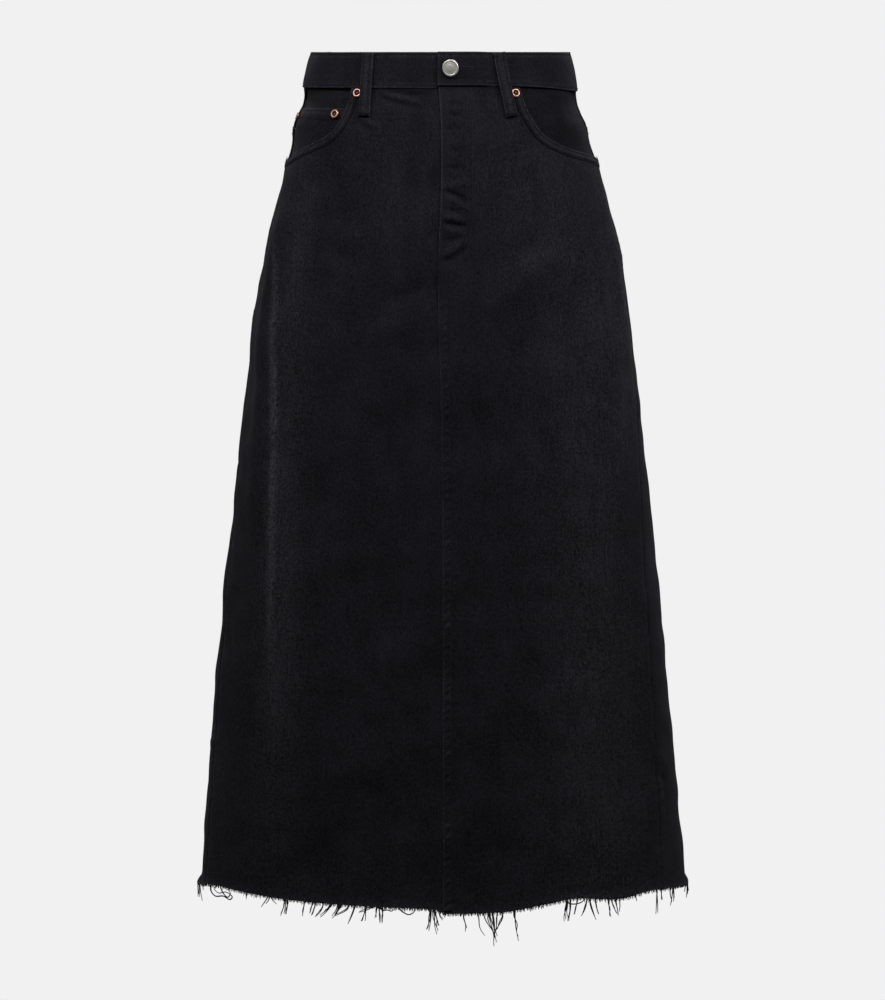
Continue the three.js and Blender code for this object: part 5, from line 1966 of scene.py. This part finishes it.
class Turned:
    """Pieces that are turned on an axis, from half of their section."""

    @staticmethod
    def ring_points(section: Sequence[tuple[float, float, float]], sides: int) -> tuple[Array, list[list[int]], Array]:
        """Turns a section of (radius, height, tarnish) rows, from the axis and back to it.

        Args:
            section: the section's rows; the first and the last lie on the axis.
            sides: how many sides the piece has.

        Returns:
            The points with their axis along z, the faces, and each point's tarnish.
        """
        rows = np.array(section[1:-1], float)
        turns = np.arange(sides) * 2 * math.pi / sides
        radius, height = rows[:, :1], rows[:, 1:2]
        rings = np.stack([radius * np.cos(turns), radius * np.sin(turns), height + 0 * turns], axis=-1)
        foot, tip = np.array([[0, 0, section[0][1]]]), np.array([[0, 0, section[-1][1]]])
        points = np.concatenate([rings.reshape(-1, 3), foot, tip])
        number = np.arange(len(rows) * sides).reshape(len(rows), sides)
        turned = np.roll(number, -1, axis=1)
        faces = quads(number[:-1], turned[:-1], turned[1:], number[1:]).tolist()
        first, last = len(points) - 2, len(points) - 1
        faces += [[first, b, a] for a, b in zip(number[0].tolist(), turned[0].tolist())]
        faces += [[last, a, b] for a, b in zip(number[-1].tolist(), turned[-1].tolist())]
        tarnish = np.concatenate([np.repeat(rows[:, 2], sides), [section[0][2], section[-1][2]]])
        return points, faces, tarnish

    @staticmethod
    def stand(points: Array, angle: float, z: float, lift: float) -> Array:
        """Stands turned points on the form, their axis along its outward direction.

        Args:
            points: the turned points, with their axis along z.
            angle: the angle that they stand at.
            z: the height that they stand at.
            lift: how far over the form their foot is.

        Returns:
            The points in their place.
        """
        face, normal = FORM.surface(np.array(angle), np.array(z), has_relief=False)
        turn = Vector((0, 0, 1)).rotation_difference(Vector(normal.tolist()))
        return points @ np.array(turn.to_matrix()).T + face + normal * lift


@dataclass
class WaistButton(Turned):
    """The plain metal button: a rolled rim round a dished face, leaning a little on its shank."""

    x: float = 8.2
    z: float = 1.2
    radius: float = 8.7
    shank: float = 1.9
    back: float = 7.0
    lean: float = 23.0
    lean_to: float = 215.0
    sides: int = 96

    def build(self, finishes: Finishes) -> list[Piece]:
        """Makes the button.

        Args:
            finishes: the skirt's finishes.

        Returns:
            The pieces.
        """
        cap = (
            (1.5, -0.1, 0.5), (0.75, 0.02, 0.3), (0.22, 0.4, 0.1), (0.0, 1.05, 0.0), (0.2, 1.7, 0.0),
            (0.7, 2.05, 0.0), (1.3, 2.15, 0.0), (1.8, 2.08, 0.1), (2.05, 1.93, 0.35), (2.25, 1.86, 0.45),
            (2.5, 1.9, 0.3), (3.0, 2.0, 0.05), (4.0, 2.1, 0.0), (4.9, 2.13, 0.0), (5.1, 2.2, 0.1),
            (5.4, 2.28, 0.0), (6.3, 2.36, 0.0), (7.4, 2.4, 0.0),
        )
        shank = [(0, 0, 0.6), (self.shank, 0, 0.6), (self.shank, self.back - 0.3, 0.6)]
        section = [*shank, *((self.radius - inset, self.back + height, dark) for inset, height, dark in cap)]
        section.append((0, self.back + 2.42, 0))
        points, faces, tarnish = self.ring_points(section, self.sides)
        points = self._leaned(points)
        angle = FORM.place_at(self.x, self.z)[0]
        placed = self.stand(points, angle, self.z, BAND_PROUD + 0.3)
        button = make_piece("waist_button_metal", placed, faces, tarnish, [finishes.steel])
        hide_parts("waist_button")
        return [button]

    def _leaned(self, points: Array) -> Array:
        """Leans the cap on its shank.

        Args:
            points: the button's points.

        Returns:
            The points, with the cap's turned.
        """
        towards = math.radians(self.lean_to)
        axis = Vector((-math.sin(towards), math.cos(towards), 0))
        turn = np.array(Matrix.Rotation(math.radians(self.lean), 3, axis))
        pivot = np.array([0, 0, self.back])
        is_cap = points[:, 2] > self.back - 0.2
        return np.where(is_cap[:, None], (points - pivot) @ turn.T + pivot, points)


@dataclass
class Rivets(Turned):
    """The four small rivets: a copper ring with a dark groove and a nub."""

    sides: int = 48
    places: tuple[tuple[str, float, float, float], ...] = (
        ("rivet_pocket_right", -44.3, -23.2, 0.0),
        ("rivet_pocket_left", 38.6, -23.2, 0.0),
        ("rivet_coin_inner", -53.6, -44.0, BEHIND_FRONT),
        ("rivet_coin_outer", -82.0, -46.5, BEHIND_FRONT),
    )
    section: tuple[tuple[float, float, float], ...] = (
        (0, 0, 1), (4.35, 0, 0.5), (4.6, 0.35, 0.1), (4.62, 0.8, 0.0), (4.4, 1.2, 0.0), (4.0, 1.45, 0.0),
        (3.5, 1.52, 0.0), (3.1, 1.46, 0.1), (2.7, 1.25, 0.4), (2.45, 0.85, 0.9), (2.2, 0.5, 1.0), (1.8, 0.42, 1.0),
        (1.35, 0.45, 1.0), (1.1, 0.7, 1.0), (0.9, 0.9, 0.85), (0.6, 1.0, 0.7), (0.3, 1.04, 0.7), (0, 1.05, 0.7),
    )

    def build(self, finishes: Finishes) -> list[Piece]:
        """Makes the rivets.

        Args:
            finishes: the skirt's finishes.

        Returns:
            The pieces.
        """
        points, faces, tarnish = self.ring_points(self.section, self.sides)
        pieces = []
        for name, angle, z, base in self.places:
            placed = self.stand(points, angle, z, base + 0.9)
            rivet = make_piece(name + "_metal", placed, faces, tarnish, [finishes.copper])
            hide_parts(name)
            pieces.append(rivet)
        return pieces


@dataclass
class FrayedHem:
    """The raw hem's loose yarn: close short ends all round, and longer yarns in places."""

    end_pitch: float = 1.0
    shortest: float = 1.2
    longest: float = 3.8
    sides: int = 4

    def build(self, finishes: Finishes) -> list[Piece]:
        """Makes the yarn below each panel.

        Args:
            finishes: the skirt's finishes.

        Returns:
            The pieces.
        """
        spans = {
            "front_right": (FORM.side_right, FORM.centre),
            "front_left": (FORM.centre, FORM.side_left),
            "back_left": (FORM.side_left, level(180)),
            "back_right": (level(-180), FORM.side_right),
        }
        pieces = []
        for number, (name, (start, end)) in enumerate(spans.items()):
            draw = np.random.default_rng(40 + number)
            low, high = (float(line(np.array(HEM_Z))) for line in (start, end))
            ends = self._hang(self._short_ends(low, high, draw), 3, draw)
            strands = self._hang(self._long_yarns(name, low, high, draw), 11, draw)
            snags = [self._snag(row) for row in HEM_SNAGS if low < FORM.place_at(row[-1][0], HEM_Z)[0] < high]
            piece = self._tubes(f"fray_{name}_yarn", ((ends, 0.5), (strands, 0.72), (snags, 0.95)), finishes.yarn)
            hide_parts("fray_" + name)
            pieces.append(piece)
        return pieces

    def _hang(self, yarns: Sequence[tuple[float, float, float]], count: int, draw: np.random.Generator) -> Array:
        """The paths of hanging yarns.

        Args:
            yarns: each one's angle, how far it hangs, and how far its tip drifts towards the wearer's left.
            count: how many points a path has.
            draw: random numbers.

        Returns:
            The points, a row for each yarn.
        """
        angle, drop, drift = (part[:, None, None] for part in np.array(yarns, float).T)
        face, normal = FORM.surface(angle[:, 0], FORM.hem_line(wrap(angle[:, 0])) + 1.0)
        chance = draw.random((6, len(yarns), 1, 1))
        around = unit(np.cross([0, 0, 1.0], normal))
        along = np.linspace(0, 1, count)[None, :, None]
        wiggle = 0.05 * drop * np.sin(along * math.pi * (1 + 2 * chance[0])) * (2 * chance[1] - 1)
        bend = along ** (1 + 1.2 * chance[2])
        swing = (2 * chance[3] - 1) * 0.16 * drop
        path = face - normal * DENIM * (0.25 + 0.5 * chance[4]) - np.array([0, 0, 1.0]) * (along * (drop + 1.0))
        return path + around * (bend * drift + wiggle) + normal * (along**1.5 * swing)

    def _snag(self, row: Sequence[tuple[float, float]]) -> Array:
        """The path of a yarn that hangs in a loop from the front's hem.

        Args:
            row: its (x, drop) places.

        Returns:
            The path's points.
        """
        x, drop = through(np.array(row, float), 5).T
        angle = FORM.angle_at(x, np.full(x.shape, HEM_Z))
        z = FORM.hem_line(angle)
        face, normal = FORM.surface(angle, z + 1.0)
        return face - normal * DENIM * 0.5 - np.array([0, 0, 1.0]) * (drop[:, None] + 1.0)

    def _short_ends(
        self, low: float, high: float, draw: np.random.Generator
    ) -> list[tuple[float, float, float]]:
        """The close ends of the warp along the raw edge: each one's angle, drop and drift.

        Args:
            low: the angle where the panel starts.
            high: the angle where it ends.
            draw: random numbers.

        Returns:
            A row for each end.
        """
        middle = FORM.point(np.linspace(low, high, 60), np.full(60, HEM_Z))
        count = round(float(run_length(middle)[-1]) / self.end_pitch)
        angles = np.linspace(low, high, count) + draw.normal(0, 0.05, count)
        clumps = 0.5 + 0.5 * np.sin(np.linspace(0, count / 9, count) + 3 * draw.random())
        lengths = mix(self.shortest, self.longest, draw.random(count) ** 2 * (0.45 + 0.55 * clumps))
        return list(zip(angles, lengths, draw.normal(0, 0.9, count)))

    def _long_yarns(
        self, name: str, low: float, high: float, draw: np.random.Generator
    ) -> list[tuple[float, float, float]]:
        """The longer yarns, by the table on the front and drawn at random on the back.

        Args:
            name: the panel.
            low: the angle where it starts.
            high: the angle where it ends.
            draw: random numbers.

        Returns:
            The angle, drop and drift of each yarn.
        """
        yarns = []
        if name.startswith("front"):
            for x, drop, drift, size in HEM_YARNS:
                angle = FORM.place_at(x, HEM_Z)[0]
                if low < angle < high:
                    for extra in range(1 + size):
                        beside_it = angle + extra * 0.12 * (-1) ** extra
                        length = drop * (1 - 0.18 * extra * float(draw.random()))
                        yarns.append((beside_it, length, drift + 1.2 * extra))
            return yarns
        for _ in range(26):
            angle = mix(low, high, float(draw.random()))
            drop, drift = float(6 + 18 * draw.random() ** 1.6), float(draw.normal(0, 4))
            for extra in range(int(draw.integers(1, 4))):
                yarns.append((angle + 0.15 * extra, drop * (1 - 0.2 * extra), drift))
        return yarns

    def _tubes(
        self, name: str, groups: Sequence[tuple[Array, float]], look: Look
    ) -> Piece:
        """Makes thin closed tubes along paths, which come in groups with the radius at their roots.

        Args:
            name: the piece's name.
            groups: each group's paths and radius.
            look: the yarn's material.

        Returns:
            The piece.
        """
        points, faces, total = [], [], 0
        turns = np.arange(self.sides) * 2 * math.pi / self.sides
        for path, radius in ((path, radius) for paths, radius in groups for path in paths):
            radii = np.linspace(radius, radius * 0.5, len(path))
            along = unit(np.gradient(path, axis=0))
            side = unit(np.cross(along, [0.31, 0.92, 0.24]))
            up = np.cross(along, side)
            ring = side[:, None] * np.cos(turns)[None, :, None] + up[:, None] * np.sin(turns)[None, :, None]
            points.append((path[:, None] + ring * radii[:, None, None]).reshape(-1, 3))
            number = np.arange(len(path) * self.sides).reshape(len(path), self.sides) + total
            turned = np.roll(number, -1, axis=1)
            faces += quads(number[:-1], turned[:-1], turned[1:], number[1:]).tolist()
            faces += [number[0, ::-1].tolist(), number[-1].tolist()]
            total += number.size
        return make_piece(name, np.concatenate(points), faces, np.zeros(total), [look])


@dataclass(frozen=True)
class Lamp:
    """A soft rectangular lamp that looks at the skirt."""

    name: str
    place: tuple[float, float, float]
    aim: tuple[float, float, float]
    size: float
    watts: float


@dataclass
class Studio:
    """The pale floor and backdrop, the soft lamps and the camera."""

    pale: float = 0.8796
    floor_z: float = -0.93
    reach: float = 22.0
    ambient: float = 0.05
    camera_place: tuple[float, float, float] = (0.0, -4.2, 0.0151)
    camera_down: float = 6.3047
    camera_lens: float = 144.9
    lamps: tuple[Lamp, ...] = (
        Lamp("key", (1.6, -1.2, 1.3), (0, 0, -0.1), 0.9, 24),
        Lamp("fill", (-1.7, -1.0, 1.3), (0, 0, -0.1), 0.9, 23),
        Lamp("top", (0.1, -1.1, 1.0), (0, 0, -0.1), 0.6, 6),
        Lamp("back_left", (0.8, 1.8, 1.3), (0, 0, -0.1), 0.9, 20),
        Lamp("back_right", (-0.8, 1.8, 1.3), (0, 0, -0.1), 0.9, 20),
    )

    def build(self) -> None:
        """Sets the stage, the lamps, the world and the camera."""
        self._stage()
        for lamp in self.lamps:
            self._hang(lamp)
        world = bpy.data.worlds.new("studio")
        world.use_nodes = True
        world.node_tree.nodes["Background"].inputs["Color"].default_value = (1, 1, 1, 1)
        world.node_tree.nodes["Background"].inputs["Strength"].default_value = self.ambient
        scene = bpy.context.scene
        scene.world = world
        scene.view_settings.view_transform = "Standard"
        camera = bpy.data.objects.new("camera", bpy.data.cameras.new("camera"))
        scene.collection.objects.link(camera)
        camera.location = self.camera_place
        camera.rotation_euler = (math.radians(90 - self.camera_down), 0, 0)
        camera.data.sensor_width = 36
        camera.data.lens = self.camera_lens
        camera.data.clip_start, camera.data.clip_end = 0.05, 80
        scene.camera = camera

    def _stage(self) -> None:
        """Makes the floor and the dome behind it, which light nothing."""
        shader = Shader("pale_backdrop")
        glow = shader.add("ShaderNodeEmission", {}, {"Color": (self.pale,) * 3, "Strength": 1.0})
        shader.add("ShaderNodeOutputMaterial", {}, {"Surface": glow})
        turns = np.linspace(0, 2 * math.pi, 49)[:-1]
        edge = np.stack([np.cos(turns), np.sin(turns), 0 * turns], axis=-1) * self.reach
        floor = self._stage_mesh("floor", edge + [0, 0, self.floor_z], [list(range(48))], shader.material)
        rings = [edge * math.cos(rise) + [0, 0, self.reach * math.sin(rise)] for rise in np.linspace(-0.3, 1.5, 14)]
        number = np.arange(14 * 48).reshape(14, 48)
        turned = np.roll(number, -1, axis=1)
        walls = quads(number[:-1], number[1:], turned[1:], turned[:-1]).tolist()
        dome = self._stage_mesh("backdrop", np.concatenate(rings), [*walls, number[-1].tolist()], shader.material)

    @staticmethod
    def _stage_mesh(name: str, points: Array, faces: list[list[int]], look: Look) -> Piece:
        """Makes a part of the stage that only the camera sees.

        Args:
            name: the part's name.
            points: its vertices, in metres.
            faces: its faces' vertex numbers.
            look: its material.

        Returns:
            The part.
        """
        mesh = bpy.data.meshes.new(name)
        mesh.from_pydata(points.tolist(), [], faces)
        mesh.materials.append(look)
        part = bpy.data.objects.new(name, mesh)
        bpy.context.scene.collection.objects.link(part)
        part.visible_diffuse = part.visible_glossy = part.visible_shadow = part.visible_transmission = False
        return part

    @staticmethod
    def _hang(lamp: Lamp) -> None:
        """Adds a lamp.

        Args:
            lamp: what to hang.
        """
        light = bpy.data.lights.new(lamp.name, "AREA")
        light.shape, light.size, light.energy = "SQUARE", lamp.size, lamp.watts
        body = bpy.data.objects.new(lamp.name, light)
        bpy.context.scene.collection.objects.link(body)
        body.location = lamp.place
        body.rotation_euler = (Vector(lamp.aim) - Vector(lamp.place)).to_track_quat("-Z", "Y").to_euler()
        body.visible_camera = False


def main() -> None:
    """Builds the skirt's sub-assemblies in order, then the studio, and logs each piece."""
    logging.basicConfig(level=logging.INFO, format="%(name)s: %(message)s")
    finishes = Finishes()
    assemblies = (
        Waistband(),
        FrontPanel(Side.RIGHT, Cut(0.287, 0.838, 0.213)),
        FrontPanel(Side.LEFT, Cut(0.25, 0.841, 0.192)),
        Facings(),
        BackPanel(Side.LEFT, Cut(0.418, 0.8, 0.266), Cut(0.216, 0.073, 0.0118)),
        BackPanel(Side.RIGHT, Cut(0.379, 0.8, 0.248), Cut(0.222, 0.075, 0.0124)),
        FelledSeam(),
        SeamStrips(),
        BeltLoops(),
        WaistButton(),
        Rivets(),
        FrayedHem(),
    )
    for assembly in assemblies:
        for piece in assembly.build(finishes):
            log.info("%s: %s with %d faces", type(assembly).__name__, piece.name, len(piece.data.polygons))
    Studio().build()


if __name__ == "__main__":
    main()
